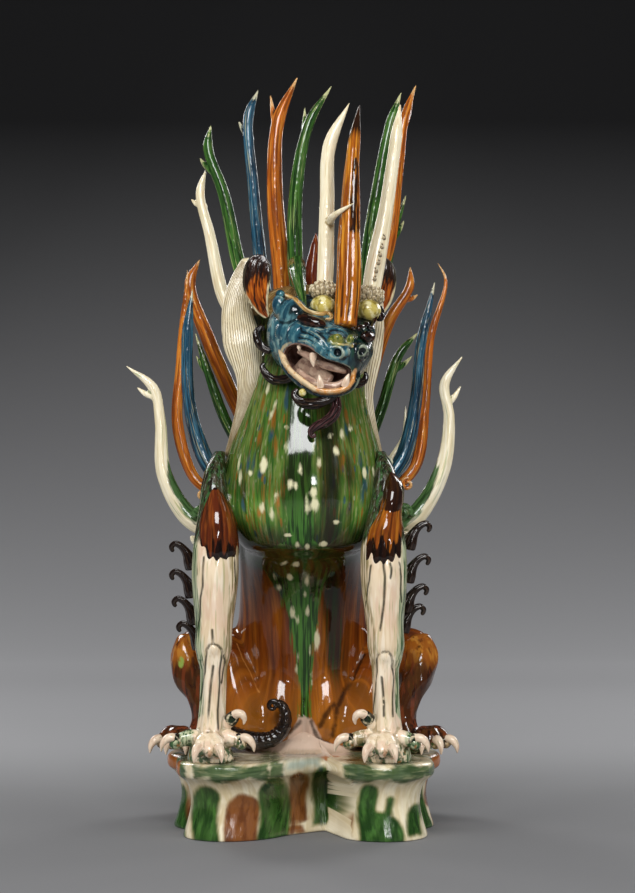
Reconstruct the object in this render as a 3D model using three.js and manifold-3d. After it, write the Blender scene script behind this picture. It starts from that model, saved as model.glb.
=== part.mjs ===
// Tomb guardian beast: a seated, horned and bearded beast in lead-glazed earthenware on a lobed plinth.
// Millimetres, +Z up, the face towards -Y. The origin is the middle of the plinth's underside.
import * as THREE from 'three';
import { mergeVertices } from 'three/addons/utils/BufferGeometryUtils.js';
import Module from 'manifold-3d';

const wasm = await Module();
wasm.setup();

// Driving dimensions of the plinth.
const PLINTH_HEIGHT = 90;
const PLINTH_LIP = 18; // height of the overhanging rim
const PLINTH_WAIST_HEIGHT = 40;
const PLINTH_WAIST_INSET = 17; // how far the waist sits behind the rim
const PLINTH_FOOT_INSET = 8;
const PLINTH_LIP_BEVEL = 3;
const LOBE_BLEND = 26; // softening of the hollows between two lobes
const PAW_MARGIN = 28; // rim of the plinth in front of each forepaw
const SEAT_HEIGHT = 26; // the low mound that the beast sits over
const SEAT_RADIUS = 66;

// Driving dimensions of the figure. Its free forms are shares of its own height.
const FIGURE_HEIGHT = 828; // top of the plinth to the highest spike tip
const CARVED_HEIGHT = 828; // the height that the carving's numbers are written for
const STANCE_LEFT = 107; // forepaw centres from the middle
const STANCE_RIGHT = 98;
const PAW_LINE = 105; // the stance that the foreleg's own numbers are written for
const PAW_RADIUS = 28;
const TENDON_TOP = 186; // the tendons show between these heights
const TENDON_FOOT = 24;
const HEAD_TURN = 22; // degrees, towards +X
const HEAD_TILT = 14; // degrees, the head leaning towards +X
const HEAD_NOD = 4; // degrees, nose down

// Fits between the separately fired pieces.
const FIT_CLEARANCE = 0.3;
const TENON_DEPTH = 12;
const COLLAR_HEIGHT = 7;
const COLLAR_WALL = 4.5;

// Faceting.
const SPIKE_SIDES = 5;
const BLADE_STEPS = 4;
const BARB_SIDES = 3;
const SEAT_SIDES = 10;
const PLINTH_SIDES = 48;
const FACET_TOLERANCE = 0.8; // facets closer than this to a flat run are joined

const SHARE = FIGURE_HEIGHT / CARVED_HEIGHT;
const LEFT = -1;
const RIGHT = 1;
const TOWARDS_BACK = new THREE.Vector3(0, 1, 0);

/** A place on the figure: x and y from the middle, z above the plinth, in carving units. */
function at(x, y, z) {
  return new THREE.Vector3(x * SHARE, y * SHARE, PLINTH_HEIGHT + z * SHARE);
}

/** Turns carving units into a length. */
function size(value) {
  return value * SHARE;
}

/** Reads a value between stations that are spread evenly from 0 to 1. */
function sample(values, t) {
  const place = t * (values.length - 1);
  const low = Math.min(Math.floor(place), values.length - 2);
  return THREE.MathUtils.lerp(values[low], values[low + 1], place - low);
}

/** Makes a manifold solid of a closed geometry. */
function solidOf(geometry) {
  geometry.deleteAttribute('normal');
  geometry.deleteAttribute('uv');
  const merged = mergeVertices(geometry, 1e-4);
  const vertProperties = new Float32Array(merged.attributes.position.array);
  const triVerts = new Uint32Array(merged.index.array);
  return new wasm.Manifold(new wasm.Mesh({ numProp: 3, vertProperties, triVerts }));
}

/** Makes a geometry of a manifold solid. */
function geometryOf(solid) {
  const mesh = solid.getMesh();
  const geometry = new THREE.BufferGeometry();
  geometry.setAttribute('position', new THREE.BufferAttribute(new Float32Array(mesh.vertProperties), 3));
  geometry.setIndex(new THREE.BufferAttribute(new Uint32Array(mesh.triVerts), 1));
  return geometry;
}

/** Six times the signed volume of an indexed surface. */
function signedVolume(points, index) {
  let total = 0;
  const cross = new THREE.Vector3();
  for (let i = 0; i < index.length; i += 3) {
    cross.crossVectors(points[index[i + 1]], points[index[i + 2]]);
    total += points[index[i]].dot(cross);
  }
  return total;
}

/** A closed solid through rings of equally many points, with an end cap on the first and the last. */
function loft(rings) {
  const count = rings[0].length;
  const points = rings.flat();
  const index = [];
  for (let i = 0; i < rings.length - 1; i++) {
    for (let j = 0; j < count; j++) {
      const a = i * count + j;
      const b = i * count + ((j + 1) % count);
      index.push(a, b, b + count, a, b + count, a + count);
    }
  }
  const last = (rings.length - 1) * count;
  const middle = (ring) => ring.reduce((sum, p) => sum.add(p), new THREE.Vector3()).divideScalar(count);
  points.push(middle(rings[0]), middle(rings.at(-1)));
  for (let j = 0; j < count; j++) {
    const next = (j + 1) % count;
    index.push(points.length - 2, next, j);
    index.push(points.length - 1, last + j, last + next);
  }
  if (signedVolume(points, index) < 0) index.reverse();
  const geometry = new THREE.BufferGeometry().setFromPoints(points);
  geometry.setIndex(index);
  return solidOf(geometry);
}

/** An upright form: stations of [z, centre x, centre y, half width, half depth], smoothed between. */
function column(stations, sides, steps, relief = () => 1) {
  const values = (key) => stations.map((station) => station[key]);
  const axis = new THREE.CatmullRomCurve3(stations.map(([z, x, y]) => new THREE.Vector3(x, y, z)));
  const girth = new THREE.CatmullRomCurve3(stations.map(([, , , w, d]) => new THREE.Vector3(w, d, 0)));
  const rings = [];
  for (let i = 0; i <= steps; i++) {
    const t = i / steps;
    const centre = axis.getPoint(t);
    const radius = girth.getPoint(t);
    const ring = [];
    for (let j = 0; j < sides; j++) {
      const angle = (2 * Math.PI * j) / sides - Math.PI / 2;
      const scale = relief(angle, sample(values(0), t));
      ring.push(at(
        centre.x + radius.x * scale * Math.cos(angle),
        centre.y + radius.y * scale * Math.sin(angle),
        centre.z,
      ));
    }
    rings.push(ring);
  }
  return loft(rings);
}

/** Points of one section of a limb: across it in the plane of the photo, and through it in depth. */
function section(centre, along, halfWidth, halfDepth, sides) {
  const across = new THREE.Vector3().crossVectors(along, TOWARDS_BACK).normalize();
  const through = new THREE.Vector3().crossVectors(along, across).normalize();
  const ring = [];
  for (let j = 0; j < sides; j++) {
    const angle = (2 * Math.PI * j) / sides;
    ring.push(centre.clone()
      .addScaledVector(across, halfWidth * Math.cos(angle))
      .addScaledVector(through, halfDepth * Math.sin(angle)));
  }
  return ring;
}

/** A limb, lock or tooth along a path of places, with half widths read evenly along it. */
function limb(path, halfWidths, { sides = 6, steps = 6, depth = 1, grow = 0 } = {}) {
  const curve = new THREE.CatmullRomCurve3(path);
  const rings = [];
  for (let i = 0; i <= steps; i++) {
    const t = i / steps;
    const halfWidth = size(sample(halfWidths, t));
    rings.push(section(
      curve.getPointAt(t), curve.getTangentAt(t), halfWidth + grow, halfWidth * depth + grow, sides,
    ));
  }
  return loft(rings);
}

/** A rounded boss: an ellipsoid of three radii, turned by an optional rotation. */
function boss(centre, [rx, ry, rz], { sides = 6, bands = 4, turn = new THREE.Matrix4(), grow = 0 } = {}) {
  const geometry = new THREE.SphereGeometry(1, sides, bands);
  geometry.rotateX(Math.PI / 2);
  geometry.scale(size(rx) + grow, size(ry) + grow, size(rz) + grow);
  geometry.applyMatrix4(turn);
  geometry.translate(centre.x, centre.y, centre.z);
  return solidOf(geometry);
}

/** Joins solids into one. */
function join(solids) {
  return solids.reduce((whole, solid) => whole.add(solid));
}

// The separately made spikes, from the foot up. Each place is [x, y, z] in carving units.
// The half widths are read evenly from foot to tip. A barb is a short side point, from its root to its tip.
const SPIKES = {
  spike_crown_cream_left: {
    glaze: 'cream',
    path: [[-80, 8, 520], [-100, 20, 556], [-117, 32, 632], [-129, 41, 683], [-122, 45, 714]],
    widths: [7.5, 8, 6.5, 5, 0.8],
    barb: [[-125, 39, 668], [-141, 45, 677]],
  },
  spike_crown_green_left: {
    glaze: 'green',
    path: [[-62, 14, 548], [-80, 20, 593], [-99, 30, 680], [-119, 40, 739], [-116, 45, 769]],
    widths: [8.5, 8.5, 7, 5.5, 0.8],
    barb: [[-115, 36, 712], [-130, 45, 728]],
  },
  spike_crown_blue_left: {
    glaze: 'blue',
    path: [[-48, 8, 556], [-54, 13, 600], [-63, 24, 692], [-69, 38, 778], [-57, 45, 813]],
    widths: [8, 8, 6.5, 5.5, 0.8],
    barb: [[-67, 36, 752], [-82, 45, 774]],
  },
  spike_crown_amber_left: {
    glaze: 'amber',
    path: [[-27, -6, 558], [-29, 1, 596], [-36, 12, 685], [-32, 24, 770], [-8, 36, 828]],
    widths: [9.5, 10.5, 9.5, 7, 0.8],
    barb: [[-34, 22, 756], [-42, 35, 806]],
  },
  spike_crown_green_middle: {
    glaze: 'green',
    path: [[-4, -22, 552], [-10, -14, 590], [-9, -3, 689], [7, 9, 768], [34, 20, 814]],
    widths: [9.5, 9.5, 8, 5.5, 0.8],
    barb: [[0, 5, 742], [1, 20, 788]],
  },
  spike_nape_red: {
    glaze: 'redBrown',
    path: [[9, 4, 556], [11, 9, 592], [15, 15, 633]],
    widths: [10, 8.5, 0.8],
  },
  spike_crown_green_right: {
    glaze: 'green',
    path: [[74, -18, 548], [78, -8, 606], [91, 5, 690], [106, 18, 766], [120, 25, 807]],
    widths: [8, 8, 7, 5.5, 0.8],
  },
  spike_crown_amber_right: {
    glaze: 'amber',
    path: [[77, 0, 548], [102, 10, 610], [116, 22, 712], [124, 32, 775], [139, 45, 819]],
    widths: [8, 8, 6.5, 5, 0.8],
    barb: [[122, 30, 760], [135, 45, 800]],
  },
  spike_crown_green_short: {
    glaze: 'green',
    path: [[74, 16, 524], [99, 27, 584], [110, 38, 632], [127, 50, 683]],
    widths: [7, 6.5, 5, 0.8],
    barb: [[109, 37, 625], [125, 50, 652]],
  },
  spike_shoulder_amber_left: {
    glaze: 'amber',
    path: [[-66, 26, 384], [-88, 31, 430], [-119, 40, 502], [-142, 49, 572], [-130, 55, 603]],
    widths: [8, 9, 8.5, 6, 0.8],
  },
  spike_shoulder_amber_right: {
    glaze: 'amber',
    path: [[68, 26, 390], [84, 30, 463], [106, 40, 526], [131, 49, 568], [132, 55, 594]],
    widths: [8, 8, 7, 5, 0.8],
    barb: [[124, 47, 552], [142, 55, 559]],
  },
  spike_shoulder_green_left: {
    glaze: 'green',
    path: [[-74, 6, 358], [-98, 17, 404], [-115, 26, 450], [-135, 35, 510]],
    widths: [6, 6.5, 5.5, 0.8],
    barb: [[-117, 28, 458], [-134, 35, 482]],
  },
  spike_shoulder_green_right: {
    glaze: 'green',
    path: [[74, 6, 358], [96, 17, 418], [116, 28, 480], [141, 36, 511]],
    widths: [6, 6.5, 5.5, 0.8],
    barb: [[110, 25, 462], [134, 35, 482]],
  },
  spike_shoulder_short_left: {
    glaze: 'cream',
    path: [[-98, -36, 334], [-112, -31, 352], [-122, -25, 376], [-129, -15, 402]],
    widths: [5, 4.5, 3.5, 0.8],
  },
  spike_shoulder_short_right: {
    glaze: 'cream',
    path: [[92, -36, 334], [106, -30, 354], [122, -24, 382], [124, -15, 420]],
    widths: [5, 4.5, 3.5, 0.8],
  },
};

// The two-pronged flames on the shoulders: the blue front prong and the amber one behind it.
const FLAMES = {
  flame_shoulder_left: {
    glaze: 'blue',
    path: [[-100, -56, 322], [-122, -42, 361], [-138, -32, 416], [-142, -20, 499], [-136, -10, 562]],
    widths: [8, 9.5, 7.5, 6.5, 0.8],
    rear: [[-112, -48, 314], [-134, -38, 334], [-153, -30, 395], [-150, -20, 470], [-142, -5, 587]],
    rearWidths: [6, 7, 6, 5, 0.8],
    curls: [[-107, -50, 346], [-122, -46, 312]],
  },
  flame_shoulder_right: {
    glaze: 'blue',
    path: [[97, -56, 322], [121, -42, 359], [135, -32, 420], [143, -20, 492], [160, -10, 572]],
    widths: [8, 9.5, 7.5, 6.5, 0.8],
    rear: [[110, -48, 318], [135, -38, 346], [147, -30, 420], [154, -20, 500], [173, -9, 572], [163, -5, 595]],
    rearWidths: [6, 7, 5.5, 5, 3.5, 0.8],
    curls: [[100, -50, 350], [125, -46, 324]],
  },
};

// The large cream wings: upright blades whose feet curl against the sleeves.
const WINGS = {
  wing_left: {
    glaze: 'cream',
    path: [
      [-108, -70, 268], [-140, -58, 287], [-168, -53, 337], [-173, -49, 400], [-182, -44, 440], [-215, -40, 467],
    ],
    widths: [12, 11.5, 9, 6.5, 5, 0.8],
    barb: [[-178, -45, 428], [-202, -40, 441]],
    curls: [[-120, -66, 288], [-124, -66, 260]],
  },
  wing_right: {
    glaze: 'cream',
    path: [
      [108, -70, 268], [138, -58, 290], [168, -53, 346], [175, -49, 405], [170, -44, 445], [192, -40, 479],
    ],
    widths: [12, 11.5, 9, 6.5, 5, 0.8],
    barb: [[172, -45, 418], [190, -40, 443]],
    curls: [[118, -66, 290], [124, -66, 262]],
  },
};

const ANTLERS = {
  antler_left: {
    glaze: 'cream',
    path: [[24, -96, 544], [26, -84, 580], [28, -70, 661], [31, -62, 730], [55, -55, 783]],
    widths: [9, 9.5, 8.5, 7, 0.8],
    barb: [[30, -74, 634], [36, -98, 643], [60, -112, 657]],
  },
  antler_right: {
    glaze: 'cream',
    path: [[78, -76, 540], [86, -62, 587], [99, -48, 655], [111, -36, 739], [117, -28, 786]],
    widths: [10, 11, 8.5, 6.5, 0.8],
  },
};

const BROW_FLAME = {
  glaze: 'amber',
  path: [[50, -128, 518], [53, -116, 556], [55, -96, 640], [60, -74, 730], [67, -56, 780]],
  widths: [13, 15, 13, 9, 0.8],
  depth: 0.55,
};

/** A spike's path continued straight into the body by the depth of its tenon. */
function rootedPath(path) {
  const places = path.map((p) => at(...p));
  const inwards = new THREE.Vector3().subVectors(places[0], places[1]).setLength(TENON_DEPTH);
  return { places, foot: places[0].clone().add(inwards) };
}

/** A spike's blade with its tenon, grown by a margin on every side. */
function blade({ path, widths, depth = 0.85 }, grow) {
  const { places, foot } = rootedPath(path);
  const curve = new THREE.CatmullRomCurve3(places);
  const along = new THREE.Vector3().subVectors(places[0], foot).normalize();
  const width = size(widths[0]);
  const rings = [section(foot.addScaledVector(along, -grow), along, width + grow, width * depth + grow, SPIKE_SIDES)];
  const steps = BLADE_STEPS;
  for (let i = 0; i <= steps; i++) {
    const t = i / steps;
    const halfWidth = size(sample(widths, t));
    const tangent = i === 0 ? along : curve.getTangent(t);
    rings.push(section(curve.getPoint(t), tangent, halfWidth + grow, halfWidth * depth + grow, SPIKE_SIDES));
  }
  return loft(rings);
}

/** A whole spike, grown by a margin: its blade, and its barb where it has one. */
function spike(shape, grow) {
  const { barb } = shape;
  if (!barb) return blade(shape, grow);
  const places = barb.map((p) => at(...p));
  const point = limb(places, [3.6, 0.8], { sides: BARB_SIDES, steps: places.length - 1, depth: 0.8, grow });
  return blade(shape, grow).add(point);
}

/** The raised collar on the body around a spike's foot. */
function collar({ path, widths, depth = 0.85 }) {
  const { places, foot } = rootedPath(path);
  const along = new THREE.Vector3().subVectors(places[0], foot).normalize();
  const inner = size(widths[0]);
  const ring = (place, wall) => section(place, along, inner + wall, inner * depth + wall, SPIKE_SIDES);
  return loft([
    ring(foot, COLLAR_WALL),
    ring(places[0].addScaledVector(along, COLLAR_HEIGHT), COLLAR_WALL * 0.7),
  ]);
}

/** A curl of clay: a rolled end seen as a disc. */
function curl(place, radius, grow) {
  return boss(at(...place), [radius, radius * 0.7, radius], { sides: 5, bands: 3, grow });
}

/** One shoulder flame: two prongs of one piece, curled at the foot. */
function flame(shape, grow) {
  const rear = limb(shape.rear.map((p) => at(...p)), shape.rearWidths, { sides: 4, steps: 5, depth: 0.8, grow });
  return join([spike(shape, grow), rear, ...shape.curls.map((place) => curl(place, 8, grow))]);
}

/** One wing blade, with its barb and the two curls of its foot. */
function wing(shape, grow) {
  return join([spike(shape, grow), ...shape.curls.map((place) => curl(place, 8, grow))]);
}

/** One antler, standing in its knobbed burr. */
function antler(shape, grow) {
  const [foot, next] = shape.path.map((p) => at(...p));
  const along = new THREE.Vector3().subVectors(next, foot).normalize();
  const burr = loft([[6, 13], [11, 17], [17, 11]].map(([height, girth]) => section(
    foot.clone().addScaledVector(along, size(height)), along, size(girth) + grow, size(girth * 0.8) + grow, 6,
  )));
  return spike(shape, grow).add(burr);
}

// The open mouth runs between these depths of the head.
const MOUTH_BACK = -50;
const MOUTH_FRONT = -130;

// The head has its own frame: x to its side, y to its back and z up, from the middle of the skull.
const HEAD_PLACE = at(17, -68, 497);
const HEAD_FRAME = new THREE.Matrix4()
  .makeRotationY(THREE.MathUtils.degToRad(HEAD_TILT))
  .multiply(new THREE.Matrix4().makeRotationZ(THREE.MathUtils.degToRad(HEAD_TURN)))
  .multiply(new THREE.Matrix4().makeRotationX(THREE.MathUtils.degToRad(HEAD_NOD)));

/** A place on the head, in its own frame. */
function onHead(x, y, z) {
  return new THREE.Vector3(size(x), size(y), size(z)).applyMatrix4(HEAD_FRAME).add(HEAD_PLACE);
}

/** A form running from the back of the head to the front: stations of [y, x, z, half width, rise, drop]. */
function headForm(stations, sides) {
  return loft(stations.map(([y, x, z, halfWidth, rise, drop]) => {
    const ring = [];
    for (let j = 0; j < sides; j++) {
      const angle = (2 * Math.PI * j) / sides;
      const height = Math.sin(angle) * (Math.sin(angle) > 0 ? rise : drop);
      ring.push(onHead(x + halfWidth * Math.cos(angle), y, z + height));
    }
    return ring;
  }));
}

/** The room of the open mouth, from one corner to the other: stations of [x, lower lip, upper lip]. */
function mouthRoom(stations) {
  return loft(stations.map(([x, low, high]) => [
    onHead(x, MOUTH_BACK, low), onHead(x, MOUTH_FRONT, low), onHead(x, MOUTH_FRONT, high), onHead(x, MOUTH_BACK, high),
  ]));
}

/** One side of the face: eye, temple, curled brow, nose and fangs. */
function faceSide(side) {
  const turned = { turn: HEAD_FRAME };
  const reach = side === LEFT ? 1 : 0.76;
  const eye = boss(onHead(side * 39, -64, 21), [13, 11, 9], turned);
  const temple = boss(onHead(side * 56 * reach, -35, 24), [19, 21, 23], { ...turned, sides: 7 });
  const brow = limb([
    onHead(side * 22, -81, 29), onHead(side * 40, -69, 33), onHead(side * 54 * reach, -55, 34),
    onHead(side * 62 * reach, -44, 44), onHead(side * 68 * reach, -35, 55), onHead(side * 76 * reach, -30, 50),
  ], [3.5, 4.5, 4.5, 4.5, 4.5, 3], { sides: 4, steps: 6 });
  const nose = boss(onHead(side * 8 - 7, -94, 13), [11, 12, 12], turned);
  const upperFang = limb(
    [onHead(side * 34, -74, -8), onHead(side * 35, -79, -31)], [5, 0.8], { sides: 4, steps: 1 },
  );
  const lowerFang = limb(
    [onHead(side * 18 - 4, -87, side * 4 - 50), onHead(side * 18 - 3, -91, side * 4 - 30)], [5, 0.8],
    { sides: 4, steps: 1 },
  );
  return { features: [eye, temple, brow, nose], teeth: [upperFang, lowerFang] };
}

/** One ear: a scooped leaf standing at the side of the head. */
function ear(foot, middle, tip) {
  const leaf = limb([foot, middle, tip], [5, 12, 16, 17.5, 15, 7], { sides: 6, steps: 4, depth: 0.5 });
  const hollow = boss(middle.clone().add(new THREE.Vector3(0, size(-9), size(2))), [11, 6, 26], { sides: 6 });
  return leaf.subtract(hollow);
}

/** The head with its features, ears, beard and the two round stumps that carry the antlers. */
function head() {
  const skull = headForm([
    [52, 0, 12, 34, 32, 36], [4, -1, 6, 65, 53, 60], [-30, -3, 3, 64, 49, 62], [-52, -4, 1, 57, 38, 60],
    [-76, -6, -2, 45, 25, 56], [-93, -8, -5, 34, 19, 50], [-102, -9, -5, 20, 13, 30],
  ], 12);
  const mouth = mouthRoom([
    [-62, -24, -22], [-52, -33, -13], [-38, -40, -11], [-21, -44, -14], [-4, -42, -15], [10, -37, -15],
    [22, -30, -16], [34, -23, -19],
  ]);
  const lowerLip = limb([
    onHead(-57, -52, -30), onHead(-44, -68, -41), onHead(-22, -86, -49), onHead(-4, -94, -46), onHead(10, -94, -41),
    onHead(24, -84, -33), onHead(33, -72, -24),
  ], [5, 6.5, 7, 7, 6.5, 6, 4.5], { sides: 5, steps: 6 });
  const stumps = [[22, -101, 536], [77, -80, 532]].map((place) => boss(at(...place), [16, 15, 14]));
  const lock = (path, widths, steps) => limb(path.map((p) => at(...p)), widths, { sides: 5, steps });
  const beard = lock(
    [[37, -136, 440], [40, -140, 418], [37, -138, 404], [26, -134, 393], [12, -130, 387], [7, -128, 379]],
    [7.5, 7, 7, 6.5, 5, 3], 5,
  );
  const chinCurl = lock(
    [[34, -136, 432], [20, -136, 424], [4, -134, 419], [-9, -132, 424], [-13, -130, 437]], [6, 8, 7.5, 6, 2], 4,
  );
  const leftWhisker = lock(
    [[-16, -112, 448], [-34, -106, 446], [-47, -102, 456], [-50, -102, 470]], [7, 6, 5, 1.2], 3,
  );
  const leftCheekCurl = lock(
    [[-30, -90, 482], [-54, -88, 484], [-57, -86, 499], [-46, -86, 507]], [7, 6, 5, 2], 3,
  );
  const rightWhisker = lock(
    [[52, -112, 440], [66, -104, 441], [76, -98, 452], [75, -98, 462]], [6, 5.5, 4.5, 1.2], 3,
  );
  const leftEar = ear(at(-36, -80, 510), at(-53, -78, 554), at(-49, -68, 598));
  const rightEar = ear(at(82, -34, 526), at(94, -24, 562), at(99, -18, 598));
  const sides = [faceSide(LEFT), faceSide(RIGHT)];
  const face = join([skull, ...sides.flatMap(({ features }) => features)]).subtract(mouth);
  return join([
    face, lowerLip, ...sides.flatMap(({ teeth }) => teeth), ...stumps, beard, chinCurl,
    leftWhisker, leftCheekCurl, rightWhisker, leftEar, rightEar,
  ]);
}

/** The trunk: back, belly and the hump behind the head that carries the crown of spikes. */
function trunk() {
  return column([
    [0, 0, 70, 76, 78], [60, 0, 68, 84, 88], [120, 0, 58, 84, 92], [180, 0, 44, 80, 84],
    [240, 0, 24, 80, 70], [300, 0, 12, 84, 64], [360, 0, 4, 84, 60], [420, 2, 2, 78, 56],
    [480, 4, 0, 76, 52], [530, 4, 0, 79, 46], [558, 6, -2, 72, 38], [570, 8, -4, 46, 24],
  ], 10, 7);
}

/** The swelling chest that overhangs the belly. */
function chest() {
  return column([
    [238, 0, -58, 52, 38], [248, 0, -60, 74, 60], [282, 0, -61, 92, 78], [317, 0, -60, 96, 83],
    [353, 0, -57, 94, 80], [389, 2, -52, 86, 73], [425, 4, -48, 77, 64], [460, 8, -46, 68, 56],
    [490, 10, -44, 58, 46],
  ], 14, 6);
}

// The bands of combed mane from behind the ears to the shoulders. The left one faces the front.
const MANES = {
  left: {
    path: [
      [-66, -30, 598], [-77, -34, 566], [-81, -42, 536], [-74, -58, 494], [-66, -68, 456], [-70, -74, 424],
      [-79, -74, 392], [-92, -62, 356],
    ],
    widths: [5, 12, 18, 22, 17, 10, 7, 4],
  },
  right: {
    path: [
      [82, -22, 592], [86, -32, 556], [84, -44, 512], [77, -58, 462], [74, -68, 428], [80, -72, 396],
      [92, -62, 356],
    ],
    widths: [5, 9, 13, 14, 10, 7, 4],
  },
};

/** One band of mane. */
function maneBand({ path, widths }) {
  return limb(path.map((p) => at(...p)), widths, { sides: 5, steps: 6, depth: 0.9 });
}

/** One foreleg with its sleeve of fur, its knee and its tendons. */
function foreleg(side, stance) {
  const tendons = (angle, z) => {
    const strength = z < TENDON_TOP && z > TENDON_FOOT ? 0.07 : 0;
    return 1 - strength * Math.cos(5 * (angle + Math.PI / 2));
  };
  const x = (value) => side * (value + stance - PAW_LINE);
  const leg = column([
    [0, x(108), -124, 29, 30], [19, x(109), -124, 24, 28], [60, x(107), -122, 18, 21], [95, x(106), -120, 17, 20],
    [142, x(105), -118, 20, 23], [189, x(104), -116, 24, 27], [222, x(104), -115, 26, 29], [262, x(103), -112, 22, 25],
    [310, x(103), -101, 17, 23],
  ], 10, 7, tendons);
  const sleeve = column([
    [236, x(103), -112, 21, 26], [244, x(103), -112, 27, 32], [268, x(104), -110, 26, 32], [296, x(104), -104, 20, 30],
    [318, x(106), -94, 13, 26], [345, x(106), -82, 10, 22], [366, x(98), -72, 7, 16],
  ], 7, 5);
  const toes = [[-52, 30], [-16, 34], [20, 33], [56, 28]].map(([degrees, reach]) => toe(x(107), -128, degrees, reach));
  const spur = limb(
    [at(x(92), -124, 40), at(x(80), -132, 50), at(x(72), -138, 57), at(x(67), -138, 53)],
    [7, 6, 3.5, 0.8], { sides: 4, steps: 2 },
  );
  const upperArm = limb(
    [at(x(101), -98, 280), at(x(88), -62, 312), at(x(56), -6, 336)], [20, 33, 44], { sides: 6, steps: 2 },
  );
  return join([leg, sleeve, upperArm, spur, ...toes, fringe(side, x(104))]);
}

/** One toe with its claw, pointing so many degrees away from the front, to the side. */
function toe(x, y, degrees, reach) {
  const turn = THREE.MathUtils.degToRad(degrees);
  const along = (distance, z) => at(x + distance * Math.sin(turn), y - distance * Math.cos(turn), z);
  return limb([
    along(4, 26), along(reach * 0.62, 25), along(reach, 14), along(reach + 9, 18), along(reach + 18, 6),
  ], [10, 10, 9, 5.5, 0.8], { sides: 4, steps: 3 });
}

/** The row of hooked tufts behind a foreleg. */
function fringe(side, x) {
  const strip = limb(
    [at(x + side * 2, -98, 262), at(x + side * 12, -88, 200), at(x + side * 6, -94, 130)], [10, 11, 10],
    { sides: 5, steps: 2, depth: 1.2 },
  );
  const tufts = [[254, 56], [220, 55], [188, 52], [156, 47]].map(([z, reach]) => limb([
    at(x + side * 10, -88, z - 26), at(x + side * (reach * 0.66), -82, z - 22),
    at(x + side * reach, -78, z - 8), at(x + side * (reach - 4), -78, z + 3),
  ], [9, 7, 4.5, 0.8], { sides: 3, steps: 2 }));
  return join([strip, ...tufts]);
}

/** One folded hind leg: thigh, raised knee, shank and paw, with the rounded inner thigh. */
function hindleg(side) {
  const thigh = limb(
    [at(side * 62, 84, 74), at(side * 98, 46, 96), at(side * 128, 6, 116), at(side * 138, -20, 118)],
    [58, 52, 38, 24], { sides: 7, steps: 3 },
  );
  const shank = limb(
    [at(side * 138, -16, 130), at(side * 143, -26, 104), at(side * 140, -38, 60), at(side * 142, -52, 20)],
    [20, 19, 14, 14], { sides: 6, steps: 3 },
  );
  const innerThigh = column([
    [0, side * 50, -7, 46, 38], [36, side * 50, -8, 48, 40], [80, side * 54, 0, 48, 37], [112, side * 57, 12, 44, 32],
    [136, side * 62, 20, 34, 24],
  ], 8, 3);
  const toes = [-20, 16, 52].map((degrees) => toe(side * 146, -56, side * degrees, 28));
  return join([thigh, shank, innerThigh, ...toes]);
}

/** The dark tail, brought round to the front and curled up at its tip. */
function tail() {
  return limb([
    [-70, 14, 26], [-96, -22, 28], [-91, -44, 25], [-74, -54, 19], [-54, -57, 16], [-37, -58, 19], [-25, -58, 31],
    [-22, -58, 47], [-27, -59, 59], [-36, -60, 60],
  ].map((p) => at(...p)), [9, 9, 9, 10, 11, 11, 10, 8.5, 7, 4], { sides: 4, steps: 9 });
}

/** The plinth's lobes: [x, y, radius]. The front ones carry the forepaws and follow their stance. */
function lobes() {
  const pawY = -124 * SHARE;
  const front = PAW_RADIUS + PAW_MARGIN;
  return [
    [-STANCE_LEFT * SHARE + 14, pawY + 14, front], [-STANCE_LEFT * SHARE + 43, pawY + 24, front - 12],
    [-STANCE_LEFT * SHARE + 82, pawY + 61, front - 12],
    [STANCE_RIGHT * SHARE - 4, pawY + 14, front + 4],
    [-115, -28, 50], [115, -28, 50],
    [-100, 70, 60], [100, 70, 60],
    [0, 105, 58], [18, -27, 52],
  ];
}

/** How far the plinth's edge is from its middle in one direction, its outline moved in by an inset. */
function plinthReach(angle, inset) {
  const direction = new THREE.Vector2(Math.cos(angle), Math.sin(angle));
  const circles = lobes();
  const distance = (reach) => {
    const point = direction.clone().multiplyScalar(reach);
    const sum = circles.reduce((total, [x, y, radius]) => {
      const gap = Math.hypot(point.x - x, point.y - y) - radius;
      return total + Math.exp(-gap / (LOBE_BLEND / 2));
    }, 0);
    return -(LOBE_BLEND / 2) * Math.log(sum) + inset;
  };
  let low = 0;
  let high = 260;
  for (let reach = high; reach > 0; reach -= 2) {
    if (distance(reach) < 0) {
      low = reach;
      high = reach + 2;
      break;
    }
  }
  for (let i = 0; i < 24; i++) {
    const middle = (low + high) / 2;
    if (distance(middle) < 0) low = middle;
    else high = middle;
  }
  return low;
}

/** The low mound on the plinth, grown by a clearance. */
function seat(grow) {
  const rings = [[-4, 1], [SEAT_HEIGHT * 0.6, 0.88], [SEAT_HEIGHT, 0.5]].map(([z, share]) => {
    const ring = [];
    for (let j = 0; j < SEAT_SIDES; j++) {
      const angle = (2 * Math.PI * j) / SEAT_SIDES;
      const radius = SEAT_RADIUS * share + grow;
      ring.push(new THREE.Vector3(radius * Math.cos(angle), 8 + radius * Math.sin(angle), PLINTH_HEIGHT + z + grow));
    }
    return ring;
  });
  return loft(rings);
}

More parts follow.
